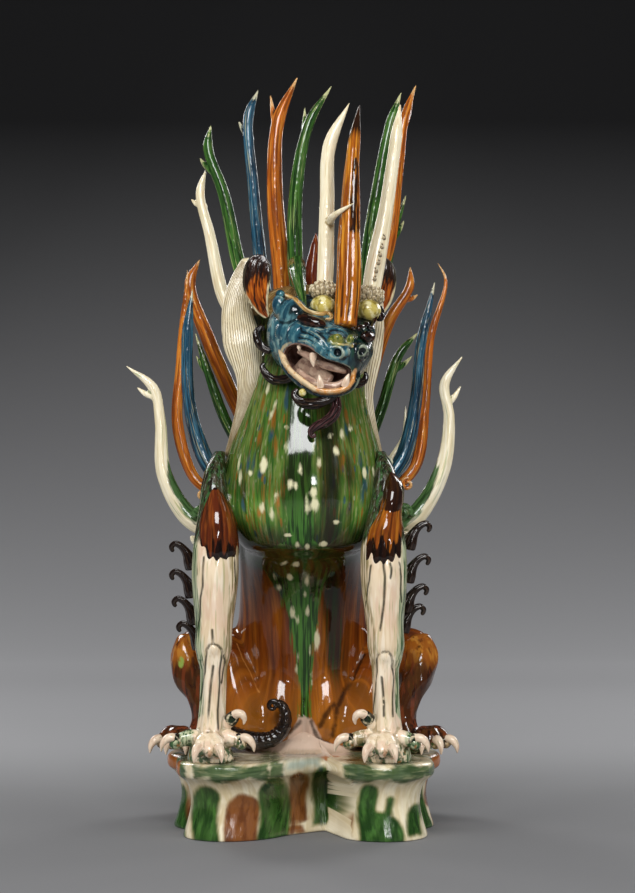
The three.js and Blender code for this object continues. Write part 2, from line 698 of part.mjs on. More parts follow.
/** The lobed plinth: foot, waist and overhanging rim. */
function plinth() {
  const profile = [
    [0, PLINTH_FOOT_INSET], [PLINTH_WAIST_HEIGHT * 0.4, PLINTH_WAIST_INSET * 0.72],
    [PLINTH_WAIST_HEIGHT, PLINTH_WAIST_INSET],
    [PLINTH_HEIGHT - PLINTH_LIP - 10, PLINTH_WAIST_INSET * 0.72], [PLINTH_HEIGHT - PLINTH_LIP, PLINTH_LIP_BEVEL],
    [PLINTH_HEIGHT - PLINTH_LIP + PLINTH_LIP_BEVEL, 0], [PLINTH_HEIGHT - PLINTH_LIP_BEVEL, 0],
    [PLINTH_HEIGHT, PLINTH_LIP_BEVEL],
  ];
  const rings = profile.map(([z, inset]) => {
    const ring = [];
    for (let j = 0; j < PLINTH_SIDES; j++) {
      const angle = (2 * Math.PI * j) / PLINTH_SIDES;
      const reach = plinthReach(angle, inset);
      ring.push(new THREE.Vector3(reach * Math.cos(angle), reach * Math.sin(angle), z));
    }
    return ring;
  });
  return loft(rings).add(seat(0));
}

/** Everything at or below the plinth's top, and its seat, as the room that the beast keeps clear of. */
function plinthRoom() {
  const below = new THREE.BoxGeometry(600, 600, 100);
  below.translate(0, 0, PLINTH_HEIGHT - 50 + FIT_CLEARANCE);
  return solidOf(below).add(seat(FIT_CLEARANCE));
}

const ROOTED = { ...SPIKES, ...FLAMES, ...WINGS, ...ANTLERS, brow_flame: BROW_FLAME };

/** The beast's body, with a collar round the foot of each piece that stands in it, and the socket cut in it. */
function beast() {
  const body = join([
    trunk(), chest(), maneBand(MANES.left), maneBand(MANES.right), head(),
    foreleg(LEFT, STANCE_LEFT), foreleg(RIGHT, STANCE_RIGHT), hindleg(LEFT), hindleg(RIGHT), tail(),
    ...Object.entries(SPIKES).filter(([name]) => name.startsWith('spike_crown')).map(([, shape]) => collar(shape)),
  ]);
  return body.subtract(plinthRoom()).simplify(FACET_TOLERANCE);
}

const GLAZES = {
  cream: { color: '#e6dcc4', roughness: 0.22 },
  green: { color: '#2c5c34', roughness: 0.16 },
  blue: { color: '#1f4a5c', roughness: 0.16 },
  amber: { color: '#b5652a', roughness: 0.16 },
  redBrown: { color: '#6e2a14', roughness: 0.16 },
  body: { color: '#4f6a3c', roughness: 0.18 },
  plinth: { color: '#d9c8a8', roughness: 0.3 },
};

/** One named piece of the model in its own glaze. */
function piece(name, solid, glaze) {
  const material = new THREE.MeshStandardMaterial({ ...GLAZES[glaze], metalness: 0 });
  const mesh = new THREE.Mesh(geometryOf(solid), material);
  mesh.name = name;
  return mesh;
}

/** The solid of a piece that stands in the body, grown by a margin. */
function rooted(name, shape, grow) {
  if (name in FLAMES) return flame(shape, grow);
  if (name in WINGS) return wing(shape, grow);
  if (name in ANTLERS) return antler(shape, grow);
  return spike(shape, grow);
}

const group = new THREE.Group();
let body = beast();
for (const [name, shape] of Object.entries(ROOTED)) {
  body = body.subtract(rooted(name, shape, FIT_CLEARANCE));
  group.add(piece(name, rooted(name, shape, 0), shape.glaze));
}
group.add(piece('beast', body.simplify(FIT_CLEARANCE / 3), 'body'));
group.add(piece('plinth', plinth(), 'plinth'));

export default group;
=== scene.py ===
"""Looks of a tomb guardian beast: a seated, horned and bearded beast in lead-glazed earthenware.

Every class models one part of the figure in millimetres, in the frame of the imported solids: +Z up, the face
towards -Y, the origin in the middle of the plinth's underside. Carving heights count from the plinth's top.
"""

import logging
import math
import zlib
from dataclasses import dataclass, field
from enum import Enum
from typing import Callable, Optional, Sequence

import bpy
import numpy as np
from mathutils import Euler, Matrix, Vector
from mathutils.bvhtree import BVHTree

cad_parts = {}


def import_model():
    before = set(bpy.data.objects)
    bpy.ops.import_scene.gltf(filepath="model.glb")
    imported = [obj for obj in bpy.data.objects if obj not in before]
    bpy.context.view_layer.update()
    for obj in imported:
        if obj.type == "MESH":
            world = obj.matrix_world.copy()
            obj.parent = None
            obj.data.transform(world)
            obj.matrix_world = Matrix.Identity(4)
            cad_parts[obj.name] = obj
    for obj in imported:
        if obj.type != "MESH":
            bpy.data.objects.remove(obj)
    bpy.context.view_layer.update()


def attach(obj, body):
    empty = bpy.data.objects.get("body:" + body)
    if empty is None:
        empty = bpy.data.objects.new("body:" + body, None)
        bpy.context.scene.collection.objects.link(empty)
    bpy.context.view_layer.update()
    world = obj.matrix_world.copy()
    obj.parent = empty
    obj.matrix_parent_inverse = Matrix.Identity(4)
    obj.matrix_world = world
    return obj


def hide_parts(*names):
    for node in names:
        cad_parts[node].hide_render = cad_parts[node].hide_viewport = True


LOG = logging.getLogger("guardian")

MM = 0.001
PLINTH_TOP = 90.0
BACK = np.array([0.0, 1.0, 0.0])
UP = np.array([0.0, 0.0, 1.0])
LEFT = -1
RIGHT = 1

# The photograph's frame: 635 by 893 pixels through a long lens, level, 3.05 m in front of the figure.
PHOTO_WIDTH = 635
PHOTO_HEIGHT = 893
FOCAL_PIXELS = 2490.0
EYE = np.array([16.5, -3050.0, 459.4])

# Node kinds, by their short names.
MATH = "ShaderNodeMath"
MIX = "ShaderNodeMix"
VECTOR = "ShaderNodeVectorMath"
RANGE = "ShaderNodeMapRange"
NOISE = "ShaderNodeTexNoise"
CELLS = "ShaderNodeTexVoronoi"
FIELD = "ShaderNodeAttribute"
BUMP = "ShaderNodeBump"

# Settings that many nodes share.
SMOOTH = {"interpolation_type": "SMOOTHSTEP"}
TIMES = {"operation": "MULTIPLY"}
TIMES_PLUS = {"operation": "MULTIPLY_ADD"}

CURVE_SAMPLES = 600  # places on a curve, to measure along it
FOLLOW_PLACES = 150  # places on a path that a skin's pattern follows
BLOCK = 4000  # points that are compared with a path at once

Path = Sequence[Sequence[float]]


def linear(colour: str) -> tuple[float, float, float, float]:
    """Turns an sRGB hex colour to linear RGBA.

    Args:
        colour: Six hex digits after a hash.

    Returns:
        The linear colour with full alpha.
    """
    channels = [int(colour[i : i + 2], 16) / 255 for i in (1, 3, 5)]
    bright = [c / 12.92 if c <= 0.04045 else ((c + 0.055) / 1.055) ** 2.4 for c in channels]
    return (bright[0], bright[1], bright[2], 1.0)


def add_node(tree: bpy.types.NodeTree, kind: str, settings: dict, inputs: dict, output: int | str = 0):
    """Adds a node with its settings and links.

    Args:
        tree: The node tree.
        kind: The node's type.
        settings: Values of the node's own properties.
        inputs: Socket name or number to a plain value or another node's socket.
        output: The output socket that is wanted.

    Returns:
        The output socket.
    """
    node = tree.nodes.new(kind)
    for name, value in settings.items():
        setattr(node, name, value)
    for key, value in inputs.items():
        if isinstance(value, bpy.types.NodeSocket):
            tree.links.new(value, node.inputs[key])
        else:
            node.inputs[key].default_value = value
    return node.outputs[output]


def spline(points: Path, shares: np.ndarray) -> np.ndarray:
    """Reads a centripetal Catmull-Rom curve, the same one that the solids were drawn with.

    Args:
        points: The places that the curve passes through, in any number of dimensions.
        shares: Where to read it, from 0 at the first place to 1 at the last.

    Returns:
        One row for each share.
    """
    knots = np.asarray(points, float)
    last = len(knots) - 1
    padded = np.vstack([2 * knots[0] - knots[1], knots, 2 * knots[-1] - knots[-2]])
    spot = np.clip(shares, 0, 1) * last
    low = np.minimum(spot.astype(int), last - 1)
    w = (spot - low)[:, None]
    p0, p1, p2, p3 = (padded[low + k] for k in range(4))
    d0, d1, d2 = (np.maximum(np.linalg.norm(b - a, axis=1, keepdims=True), 1e-6) ** 0.5
                  for a, b in ((p0, p1), (p1, p2), (p2, p3)))
    t1 = ((p1 - p0) / d0 - (p2 - p0) / (d0 + d1) + (p2 - p1) / d1) * d1
    t2 = ((p2 - p1) / d1 - (p3 - p1) / (d1 + d2) + (p3 - p2) / d2) * d1
    return p1 + t1 * w + (3 * (p2 - p1) - 2 * t1 - t2) * w**2 + (2 * (p1 - p2) + t1 + t2) * w**3


def spread(points: Path, count: int) -> tuple[np.ndarray, float]:
    """Finds shares of a curve that are evenly far apart along it.

    Args:
        points: The curve's places.
        count: How many shares.

    Returns:
        The shares, and the curve's length.
    """
    fine = np.linspace(0, 1, CURVE_SAMPLES)
    line = spline(points, fine)
    run = np.concatenate([[0], np.cumsum(np.linalg.norm(np.diff(line, axis=0), axis=1))])
    return np.interp(np.linspace(0, run[-1], count), run, fine), float(run[-1])


def eased(values: Sequence[float], shares: np.ndarray) -> np.ndarray:
    """Reads evenly spaced values smoothly, without going below the least of them."""
    column = np.asarray(values, float)
    knots = np.linspace(0, 1, len(column))
    smooth = spline(np.column_stack([knots * 100, column]), shares)[:, 1]
    return np.clip(smooth, column.min(), column.max())


def step(low: float, high: float, value: np.ndarray) -> np.ndarray:
    """A smooth step from 0 at low to 1 at high."""
    t = np.clip((value - low) / (high - low), 0, 1)
    return t * t * (3 - 2 * t)


def phase_of(name: str) -> float:
    """An offset in millimetres that gives each named piece its own run of a pattern."""
    return float(zlib.crc32(name.encode()) % 997)


@dataclass
class Surface:
    """A mesh in the making: points in millimetres, faces, and one value or vector a point for each field."""

    points: np.ndarray
    quads: np.ndarray
    tris: np.ndarray
    fields: dict[str, np.ndarray] = field(default_factory=dict)

    @staticmethod
    def joined(parts: Sequence["Surface"]) -> "Surface":
        """Puts surfaces side by side in one mesh. A field that a part lacks is nought there."""
        starts = np.cumsum([0] + [len(p.points) for p in parts])
        names = {n: part.fields[n].shape[1:] for part in parts for n in part.fields}
        fields = {
            n: np.concatenate([p.fields.get(n, np.zeros((len(p.points), *shape))) for p in parts])
            for n, shape in names.items()
        }
        return Surface(
            np.concatenate([p.points for p in parts]),
            np.concatenate([p.quads + s for p, s in zip(parts, starts)]),
            np.concatenate([p.tris + s for p, s in zip(parts, starts)]),
            fields,
        )

    def edges(self) -> np.ndarray:
        """Every edge once, as pairs of points."""
        pairs = [self.quads[:, [k, (k + 1) % 4]] for k in range(4)]
        pairs += [self.tris[:, [k, (k + 1) % 3]] for k in range(3)]
        return np.unique(np.sort(np.concatenate(pairs), axis=1), axis=0)

    def neighbours_mean(self, values: np.ndarray, edges: np.ndarray) -> np.ndarray:
        """The mean over each point's neighbours of a value or vector."""
        count = len(self.points)
        flat = values.reshape(count, -1)
        degree = np.maximum(np.bincount(edges.ravel(), minlength=count), 1)
        total = np.stack([
            np.bincount(edges[:, 0], column[edges[:, 1]], count)
            + np.bincount(edges[:, 1], column[edges[:, 0]], count)
            for column in flat.T
        ], axis=1)
        return (total / degree[:, None]).reshape(values.shape)

    def normals(self) -> np.ndarray:
        """The outward normal at each point."""
        total = np.zeros_like(self.points)
        for faces in (self.quads, self.tris):
            if len(faces) == 0:
                continue
            corners = self.points[faces]
            across = np.cross(corners[:, 2] - corners[:, 0], corners[:, -1] - corners[:, 1])
            for k in range(faces.shape[1]):
                for axis in range(3):
                    total[:, axis] += np.bincount(faces[:, k], across[:, axis], len(self.points))
        return total / np.maximum(np.linalg.norm(total, axis=1, keepdims=True), 1e-12)

    def smoothed(self, rounds: int, hold: float = -0.53) -> "Surface":
        """Rounds sharp junctions as thick glaze does, with little loss of volume."""
        edges = self.edges()
        for _ in range(rounds):
            for strength in (0.5, hold):
                offset = self.neighbours_mean(self.points, edges) - self.points
                self.points = self.points + strength * offset
        return self

    def with_relief(self, rounds: int = 2, radius: float = 9.0) -> "Surface":
        """Adds the field relief: above nought on ridges, below it in hollows.

        Args:
            rounds: How far the field is smoothed.
            radius: The radius of curvature, in millimetres, that counts as 1.
        """
        edges = self.edges()
        reach = np.linalg.norm(self.points[edges[:, 0]] - self.points[edges[:, 1]], axis=1)
        count = len(self.points)
        degree = np.maximum(np.bincount(edges.ravel(), minlength=count), 1)
        square = sum(np.bincount(edges[:, k], reach**2, count) for k in (0, 1)) / degree
        offset = self.neighbours_mean(self.points, edges) - self.points
        bend = -2 * np.sum(offset * self.normals(), axis=1) / np.maximum(square, 1e-6) * radius
        bend = np.clip(bend, -2, 2)
        for _ in range(rounds):
            bend = 0.4 * bend + 0.6 * self.neighbours_mean(bend, edges)
        self.fields["relief"] = bend
        return self

    def follow(self, path: Path, phase: float = 0.0) -> "Surface":
        """Adds the fields flow, share and turn from the nearest place on a path.

        Args:
            path: Places along the middle, heights from the plinth's top.
            phase: An offset of the pattern along the path.

        Returns:
            The surface itself.
        """
        shares, run = spread(path, FOLLOW_PLACES)
        line = raised(spline(path, shares))
        tangent, across, through = frames(line)
        nearest = np.concatenate([
            np.argmin(((block[:, None] - line[None]) ** 2).sum(-1), axis=1)
            for block in np.array_split(self.points, max(1, len(self.points) // BLOCK))
        ])
        off = self.points - line[nearest]
        lead = np.einsum("ij,ij->i", off, tangent[nearest])
        side = np.einsum("ij,ij->i", off, across[nearest])
        front = np.einsum("ij,ij->i", off, through[nearest])
        along = nearest / (len(line) - 1) * run + lead
        self.fields["flow"] = np.stack([side + phase, front, along + phase], axis=-1)
        self.fields["share"] = np.clip(along / run, 0, 1)
        self.fields["turn"] = front / np.maximum(np.hypot(side, front), 1e-6)
        self.fields["side"] = side
        return self

    def mesh(self, name: str) -> bpy.types.Mesh:
        """Makes the Blender mesh, in metres, with the fields as attributes."""
        mesh = bpy.data.meshes.new(name)
        loops = np.concatenate([self.quads.ravel(), self.tris.ravel()]).astype(np.int32)
        totals = np.concatenate([np.full(len(self.quads), 4), np.full(len(self.tris), 3)]).astype(np.int32)
        starts = (np.cumsum(totals) - totals).astype(np.int32)
        mesh.vertices.add(len(self.points))
        mesh.vertices.foreach_set("co", (self.points * MM).astype(np.float32).ravel())
        mesh.loops.add(len(loops))
        mesh.loops.foreach_set("vertex_index", loops)
        mesh.polygons.add(len(totals))
        mesh.polygons.foreach_set("loop_start", starts)
        mesh.polygons.foreach_set("loop_total", totals)
        mesh.polygons.foreach_set("use_smooth", np.ones(len(totals), bool))
        mesh.update(calc_edges=True)
        for label, values in self.fields.items():
            vector = values.ndim == 2
            attribute = mesh.attributes.new(label, "FLOAT_VECTOR" if vector else "FLOAT", "POINT")
            attribute.data.foreach_set("vector" if vector else "value", values.astype(np.float32).ravel())
        mesh.validate()
        return mesh

    def tree(self) -> BVHTree:
        """A search tree of the surface, in millimetres."""
        faces = [tuple(q) for q in self.quads.tolist()] + [tuple(t) for t in self.tris.tolist()]
        return BVHTree.FromPolygons(self.points.tolist(), faces)


def frames(line: np.ndarray) -> tuple[np.ndarray, np.ndarray, np.ndarray]:
    """Carries a pair of axes along a line without twisting them.

    Args:
        line: The places.

    Returns:
        The directions along, across and through at each place. Where the line rises, across points to -X and
        through to the front.
    """
    along = np.gradient(line, axis=0)
    along /= np.maximum(np.linalg.norm(along, axis=1, keepdims=True), 1e-9)
    across = np.empty_like(along)
    first = np.cross(along[0], BACK)
    if np.linalg.norm(first) < 0.25:
        first = np.cross(along[0], UP)
    for i, direction in enumerate(along):
        first = first - direction * first.dot(direction)
        first /= np.linalg.norm(first)
        across[i] = first
    return along, across, np.cross(along, across)


def loft(rings: np.ndarray, flow: Optional[np.ndarray] = None) -> Surface:
    """A closed surface through rings of equally many points, with a fan on each end.

    Args:
        rings: Points as rings, sides and three coordinates.
        flow: The pattern coordinates of the same points, in millimetres.

    Returns:
        The surface, its faces pointing out.
    """
    count, sides = rings.shape[:2]
    points = np.concatenate([rings.reshape(-1, 3), rings[0].mean(0)[None], rings[-1].mean(0)[None]])
    index = np.arange(count * sides).reshape(count, sides)
    beside = np.roll(index, -1, axis=1)
    quads = np.stack([index[:-1], beside[:-1], beside[1:], index[1:]], axis=-1).reshape(-1, 4)
    foot = np.stack([np.full(sides, count * sides), beside[0], index[0]], axis=-1)
    top = np.stack([np.full(sides, count * sides + 1), index[-1], beside[-1]], axis=-1)
    tris = np.concatenate([foot, top])
    corners = points[quads]
    volume = np.einsum("ij,ij->i", corners[:, 0], np.cross(corners[:, 1], corners[:, 2])).sum()
    volume += np.einsum("ij,ij->i", corners[:, 0], np.cross(corners[:, 2], corners[:, 3])).sum()
    caps = points[tris]
    volume += np.einsum("ij,ij->i", caps[:, 0], np.cross(caps[:, 1], caps[:, 2])).sum()
    if volume < 0:
        quads, tris = quads[:, ::-1], tris[:, ::-1]
    fields = {}
    if flow is not None:
        ends = [flow[0].mean(0)[None], flow[-1].mean(0)[None]]
        fields["flow"] = np.concatenate([flow.reshape(-1, 3), *ends])
    return Surface(points, quads, tris, fields)


def raised(points: np.ndarray) -> np.ndarray:
    """Moves carving heights, which count from the plinth's top, into the frame."""
    return points + np.array([0.0, 0.0, PLINTH_TOP])


Profile = Callable[[np.ndarray, np.ndarray], np.ndarray]


def sweep(
    path: Path,
    widths: Sequence[float],
    depth: float = 1.0,
    sides: int = 24,
    steps: int = 60,
    profile: Optional[Profile] = None,
    blunt: tuple[float, float] = (0.0, 0.0),
    phase: float = 0.0,
    even: bool = True,
    scoop: float = 0.0,
) -> Surface:
    """A limb, lock or blade along a path.

    Args:
        path: Places along the middle, heights from the plinth's top.
        widths: Half widths, read evenly along the path.
        depth: The half depth as a share of the half width.
        sides: Points around.
        steps: Sections along.
        profile: Gives a multiplier for the angle around and the share along; the front is at a quarter turn.
        blunt: How far from the start and from the end the section rounds off, in millimetres.
        phase: An offset of the pattern along the path.
        even: Whether the sections are evenly far apart, or spread by the path's places.
        scoop: How far the front is hollowed, as a share of the half width.

    Returns:
        The surface with its flow and share fields.
    """
    shares, _ = spread(path, steps + 1)
    if not even:
        shares = np.linspace(0, 1, steps + 1)
    centre = spline(path, shares)
    run = np.concatenate([[0], np.cumsum(np.linalg.norm(np.diff(centre, axis=0), axis=1))])
    along = run / run[-1]
    width = eased(widths, along if even else shares)
    for reach, distance in ((blunt[0], run), (blunt[1], run[-1] - run)):
        if reach > 0:
            width = width * np.sqrt(np.clip(1 - (1 - np.clip(distance / reach, 0.015, 1)) ** 2, 0, 1))
    _, across, through = frames(centre)
    angle = 2 * np.pi * np.arange(sides) / sides
    shape = np.ones((steps + 1, sides))
    if profile is not None:
        shape = shape * profile(angle[None, :], along[:, None])
    cos = (width[:, None] * shape * np.cos(angle))[..., None]
    hollow = np.where(np.sin(angle) > 0, scoop * (1 - np.cos(angle) ** 2), 0.0)
    sin = (width[:, None] * (shape * np.sin(angle) * depth - hollow))[..., None]
    rings = centre[:, None, :] + across[:, None, :] * cos + through[:, None, :] * sin
    girth = float(np.mean(width))
    flow = np.stack([
        np.broadcast_to(girth * np.cos(angle), shape.shape) + phase,
        np.broadcast_to(girth * np.sin(angle), shape.shape),
        np.broadcast_to(run[:, None] + phase, shape.shape),
    ], axis=-1)
    surface = loft(raised(rings), flow)
    surface.fields["share"] = np.concatenate([np.repeat(along, sides), [0.0, 1.0]])
    surface.fields["turn"] = np.concatenate([np.tile(np.sin(angle), steps + 1), [0.0, 0.0]])
    return surface


def column(stations: Path, sides: int = 96, steps: int = 120, profile: Optional[Profile] = None) -> Surface:
    """An upright form.

    Args:
        stations: Rows of height, centre x, centre y, half width and half depth.
        sides: Points around.
        steps: Sections along.
        profile: Gives a multiplier for the angle, nought at the front, and the height.

    Returns:
        The surface with its flow field.
    """
    table = np.asarray(stations, float)
    shares = np.linspace(0, 1, steps + 1)
    centre = spline(table[:, [1, 2, 0]], shares)
    girth = spline(table[:, [3, 4]], shares)
    angle = 2 * np.pi * np.arange(sides) / sides
    shape = np.ones((steps + 1, sides))
    if profile is not None:
        shape = shape * profile(angle[None, :], centre[:, 2:3])
    rings = np.stack([
        centre[:, 0:1] + girth[:, 0:1] * shape * np.sin(angle),
        centre[:, 1:2] - girth[:, 1:2] * shape * np.cos(angle),
        np.broadcast_to(centre[:, 2:3], shape.shape),
    ], axis=-1)
    wide = float(girth.mean())
    flow = np.stack([
        np.broadcast_to(wide * np.sin(angle), shape.shape),
        np.broadcast_to(-wide * np.cos(angle), shape.shape),
        np.broadcast_to(centre[:, 2:3], shape.shape),
    ], axis=-1)
    return loft(raised(rings), flow)


def boss(centre: Sequence[float], radii: Sequence[float], sides: int = 28, bands: int = 18,
         turn: Optional[np.ndarray] = None, profile: Optional[Profile] = None) -> Surface:
    """A rounded boss.

    Args:
        centre: Its middle, the height from the plinth's top.
        radii: Half sizes along x, y and z.
        sides: Points around.
        bands: Rings from pole to pole.
        turn: A rotation matrix for it.
        profile: Gives a multiplier for the angle around and the share from pole to pole.

    Returns:
        The surface with its flow field.
    """
    fall = np.linspace(0.02, np.pi - 0.02, bands + 1)[:, None]
    angle = (2 * np.pi * np.arange(sides) / sides)[None, :]
    shape = 1.0 if profile is None else profile(angle, fall / np.pi)
    ball = np.stack([
        np.sin(fall) * np.cos(angle) * shape,
        np.sin(fall) * np.sin(angle) * shape,
        np.broadcast_to(np.cos(fall), (bands + 1, sides)),
    ], axis=-1) * np.asarray(radii, float)
    if turn is not None:
        ball = ball @ turn.T
    rings = ball + np.asarray(centre, float)
    return loft(raised(rings), ball + phase_of("boss"))


def scroll(centre: Sequence[float], radius: float, width: float, start: float, turns: float,
           spin: int, depth: float = 1.0, rise: float = 0.0) -> Surface:
    """A volute: a roll of clay wound up in the plane that faces the front.

    Args:
        centre: The middle of the spiral.
        radius: The outer radius of its centreline.
        width: The half width of the roll at its start.
        start: The angle at which the outer end lies, in degrees from +X towards +Z.
        turns: How many turns it is wound.
        spin: 1 for winding anticlockwise in the photo, -1 for clockwise.
        depth: The half depth as a share of the half width.
        rise: How far the inner end stands out towards the front.

    Returns:
        The surface.
    """
    share = np.linspace(0, 1, int(10 * turns) + 4)
    angle = math.radians(start) + spin * 2 * np.pi * turns * share
    reach = radius * (1 - 0.78 * share)
    path = np.stack([
        centre[0] + reach * np.cos(angle),
        centre[1] - rise * share,
        centre[2] + reach * np.sin(angle),
    ], axis=-1)
    widths = [width, width * 0.9, width * 0.7, width * 0.55]
    return sweep(path, widths, depth, 14, int(46 * turns), blunt=(0, width), phase=radius)


def thinned(surface: Surface, kept: float) -> Surface:
    """Takes triangles out of a skin where it is flattest.

    Args:
        surface: The skin.
        kept: The share of its triangles that stay.

    Returns:
        The lighter skin.
    """
    mesh = surface.mesh("thinning")
    holder = bpy.data.objects.new("thinning", mesh)
    bpy.context.scene.collection.objects.link(holder)
    modifier = holder.modifiers.new("thin", "DECIMATE")
    modifier.ratio = kept
    skin = read_mesh(holder)
    bpy.data.objects.remove(holder)
    bpy.data.meshes.remove(mesh)
    return skin


def fuse(parts: Sequence[Surface], voxel: float, rounds: int, kept: float = 1.0) -> Surface:
    """Joins overlapping closed surfaces into one skin and rounds the joins.

    Args:
        parts: The surfaces.
        voxel: The grid's spacing in millimetres.
        rounds: How many rounds of smoothing.
        kept: The share of the triangles that stay.

    Returns:
        The skin.
    """
    mesh = Surface.joined(parts).mesh("fusing")
    holder = bpy.data.objects.new("fusing", mesh)
    bpy.context.scene.collection.objects.link(holder)
    modifier = holder.modifiers.new("fuse", "REMESH")
    modifier.mode = "VOXEL"
    modifier.voxel_size = voxel * MM
    skin = read_mesh(holder)
    bpy.data.objects.remove(holder)
    bpy.data.meshes.remove(mesh)
    skin = skin.smoothed(rounds)
    return skin if kept == 1.0 else thinned(skin, kept)


def read_mesh(holder: bpy.types.Object) -> Surface:
    """Reads an object's evaluated mesh back as a surface in millimetres."""
    evaluated = holder.evaluated_get(bpy.context.evaluated_depsgraph_get())
    result = evaluated.to_mesh()
    points = np.empty(len(result.vertices) * 3, np.float32)
    result.vertices.foreach_get("co", points)
    loops = np.empty(len(result.loops), np.int32)
    result.loops.foreach_get("vertex_index", loops)
    starts = np.empty(len(result.polygons), np.int32)
    result.polygons.foreach_get("loop_start", starts)
    totals = np.empty(len(result.polygons), np.int32)
    result.polygons.foreach_get("loop_total", totals)
    evaluated.to_mesh_clear()
    quads = loops[starts[totals == 4][:, None] + np.arange(4)]
    tris = loops[starts[totals == 3][:, None] + np.arange(3)]
    return Surface(points.astype(float).reshape(-1, 3) / MM, quads, tris)


def carved(body: Surface, tool: Surface) -> Surface:
    """Cuts one closed surface out of another."""
    objects = []
    for name, surface in (("carving", body), ("tool", tool)):
        made = bpy.data.objects.new(name, surface.mesh(name))
        bpy.context.scene.collection.objects.link(made)
        objects.append(made)
    cut = objects[0].modifiers.new("cut", "BOOLEAN")
    cut.operation = "DIFFERENCE"
    cut.solver = "EXACT"
    cut.object = objects[1]
    tidy = objects[0].modifiers.new("tidy", "TRIANGULATE")
    tidy.min_vertices = 5
    result = read_mesh(objects[0])
    for made in objects:
        mesh = made.data
        bpy.data.objects.remove(made)
        bpy.data.meshes.remove(mesh)
    return result


def sight(px: float, py: float) -> np.ndarray:
    """The direction from the photograph's eye through one of its pixels."""
    return np.array([(px - PHOTO_WIDTH / 2) / FOCAL_PIXELS, 1.0, -(py - PHOTO_HEIGHT / 2) / FOCAL_PIXELS])


def seen_at(px: float, py: float, y: float) -> list[float]:
    """The place at a given depth that the photograph shows at a pixel, its height from the plinth's top."""
    place = EYE + sight(px, py) * (y - EYE[1])
    return [place[0], y, place[2] - PLINTH_TOP]


def seen_on(tree: BVHTree, px: float, py: float, lift: float = 0.0) -> list[float]:
    """The place on a surface that the photograph shows at a pixel.

    Args:
        tree: The surface's search tree.
        px: The pixel's column.
        py: The pixel's row.
        lift: How far the place stands off the surface, in millimetres.

    Returns:
        The place, its height from the plinth's top.
    """
    ray = Vector(sight(px, py))
    place, normal, _, _ = tree.ray_cast(Vector(EYE), ray.normalized())
    if place is None:
        place, normal, _, _ = tree.find_nearest(Vector(EYE) + ray * (-EYE[1] - 110))
    spot = place + normal * lift
    return [spot.x, spot.y, spot.z - PLINTH_TOP]


class Slot(Enum):
    """The record's finishes."""

    BEAST = "sancai_beast"
    PLINTH = "sancai_plinth"
    CREAM = "glaze_cream"
    GREEN = "glaze_green"
    BLUE = "glaze_blue"
    AMBER = "glaze_amber"
    RED_BROWN = "glaze_red_brown"


def grain(tree: bpy.types.NodeTree, size: tuple[float, float], seed: float, detail: float = 2.0,
          kind: str = NOISE, settings: Optional[dict] = None, output: int | str = 0) -> bpy.types.NodeSocket:
    """Reads a pattern that follows the way the glaze ran.

    Args:
        tree: The node tree.
        size: The pattern's width across the run and its length along it, in millimetres.
        seed: An offset that makes the pattern another one.
        detail: The noise's octaves, for noise alone.
        kind: The texture node.
        settings: The texture node's own properties.
        output: The wanted output.

    Returns:
        The output socket.
    """
    flow = add_node(tree, FIELD, {"attribute_name": "flow"}, {}, "Vector")
    scale = (1 / size[0], 1 / size[0], 1 / size[1])
    shift = (seed, seed * 1.7, seed * 0.6)
    spot = add_node(tree, VECTOR, TIMES_PLUS, {0: flow, 1: scale, 2: shift})
    inputs = {"Vector": spot, "Scale": 1.0}
    if kind == NOISE:
        inputs["Detail"] = detail
    return add_node(tree, kind, settings or {}, inputs, output)


@dataclass(frozen=True)
class Layer:
    """One colour of glaze laid over the coat below it, everywhere or inside a zone."""

    colour: str
    strength: float = 1.0
    within: str = ""  # a field that holds the millimetres inside the zone's edge
    edge: float = 1.5  # how softly the zone ends
    wander: float = 2.0  # how far its edge strays
    stray: tuple[float, float] = (5.0, 18.0)  # width and length of the strays
    seed: float = 0.0

    def pattern(self, tree: bpy.types.NodeTree) -> Optional[bpy.types.NodeSocket]:
        """The layer's own pattern, from 0 to 1; none covers the whole zone."""
        return None

    def mask(self, tree: bpy.types.NodeTree) -> bpy.types.NodeSocket | float:
        """Where the layer lies.

        Args:
            tree: The node tree.

        Returns:
            The socket of a value from 0 to 1, or the plain strength.
        """
        mask = self.pattern(tree)
        if self.within:
            inside = add_node(tree, FIELD, {"attribute_name": self.within}, {}, "Fac")
            noise = grain(tree, self.stray, self.seed + 3.1)
            moved = add_node(tree, MATH, TIMES_PLUS, {0: noise, 1: self.wander * 4, 2: inside})
            shift = self.wander * 2
            zone = add_node(tree, RANGE, SMOOTH,
                            {"Value": moved, "From Min": shift - self.edge, "From Max": shift + self.edge})
            mask = zone if mask is None else add_node(tree, MATH, TIMES, {0: mask, 1: zone})
        if mask is None:
            return self.strength
        if self.strength < 1:
            mask = add_node(tree, MATH, TIMES, {0: mask, 1: self.strength})
        return mask


@dataclass(frozen=True)
class Runs(Layer):
    """Glaze that ran down in streaks."""

    size: tuple[float, float] = (4.0, 40.0)
    cover: float = 0.5
    soft: float = 0.07
    detail: float = 2.0

    def pattern(self, tree: bpy.types.NodeTree) -> bpy.types.NodeSocket:
        """Streaks that cover the given share."""
        noise = grain(tree, self.size, self.seed, self.detail)
        level = 0.5 + 0.36 * (0.5 - self.cover)
        return add_node(tree, RANGE, SMOOTH,
                        {"Value": noise, "From Min": level - self.soft, "From Max": level + self.soft})


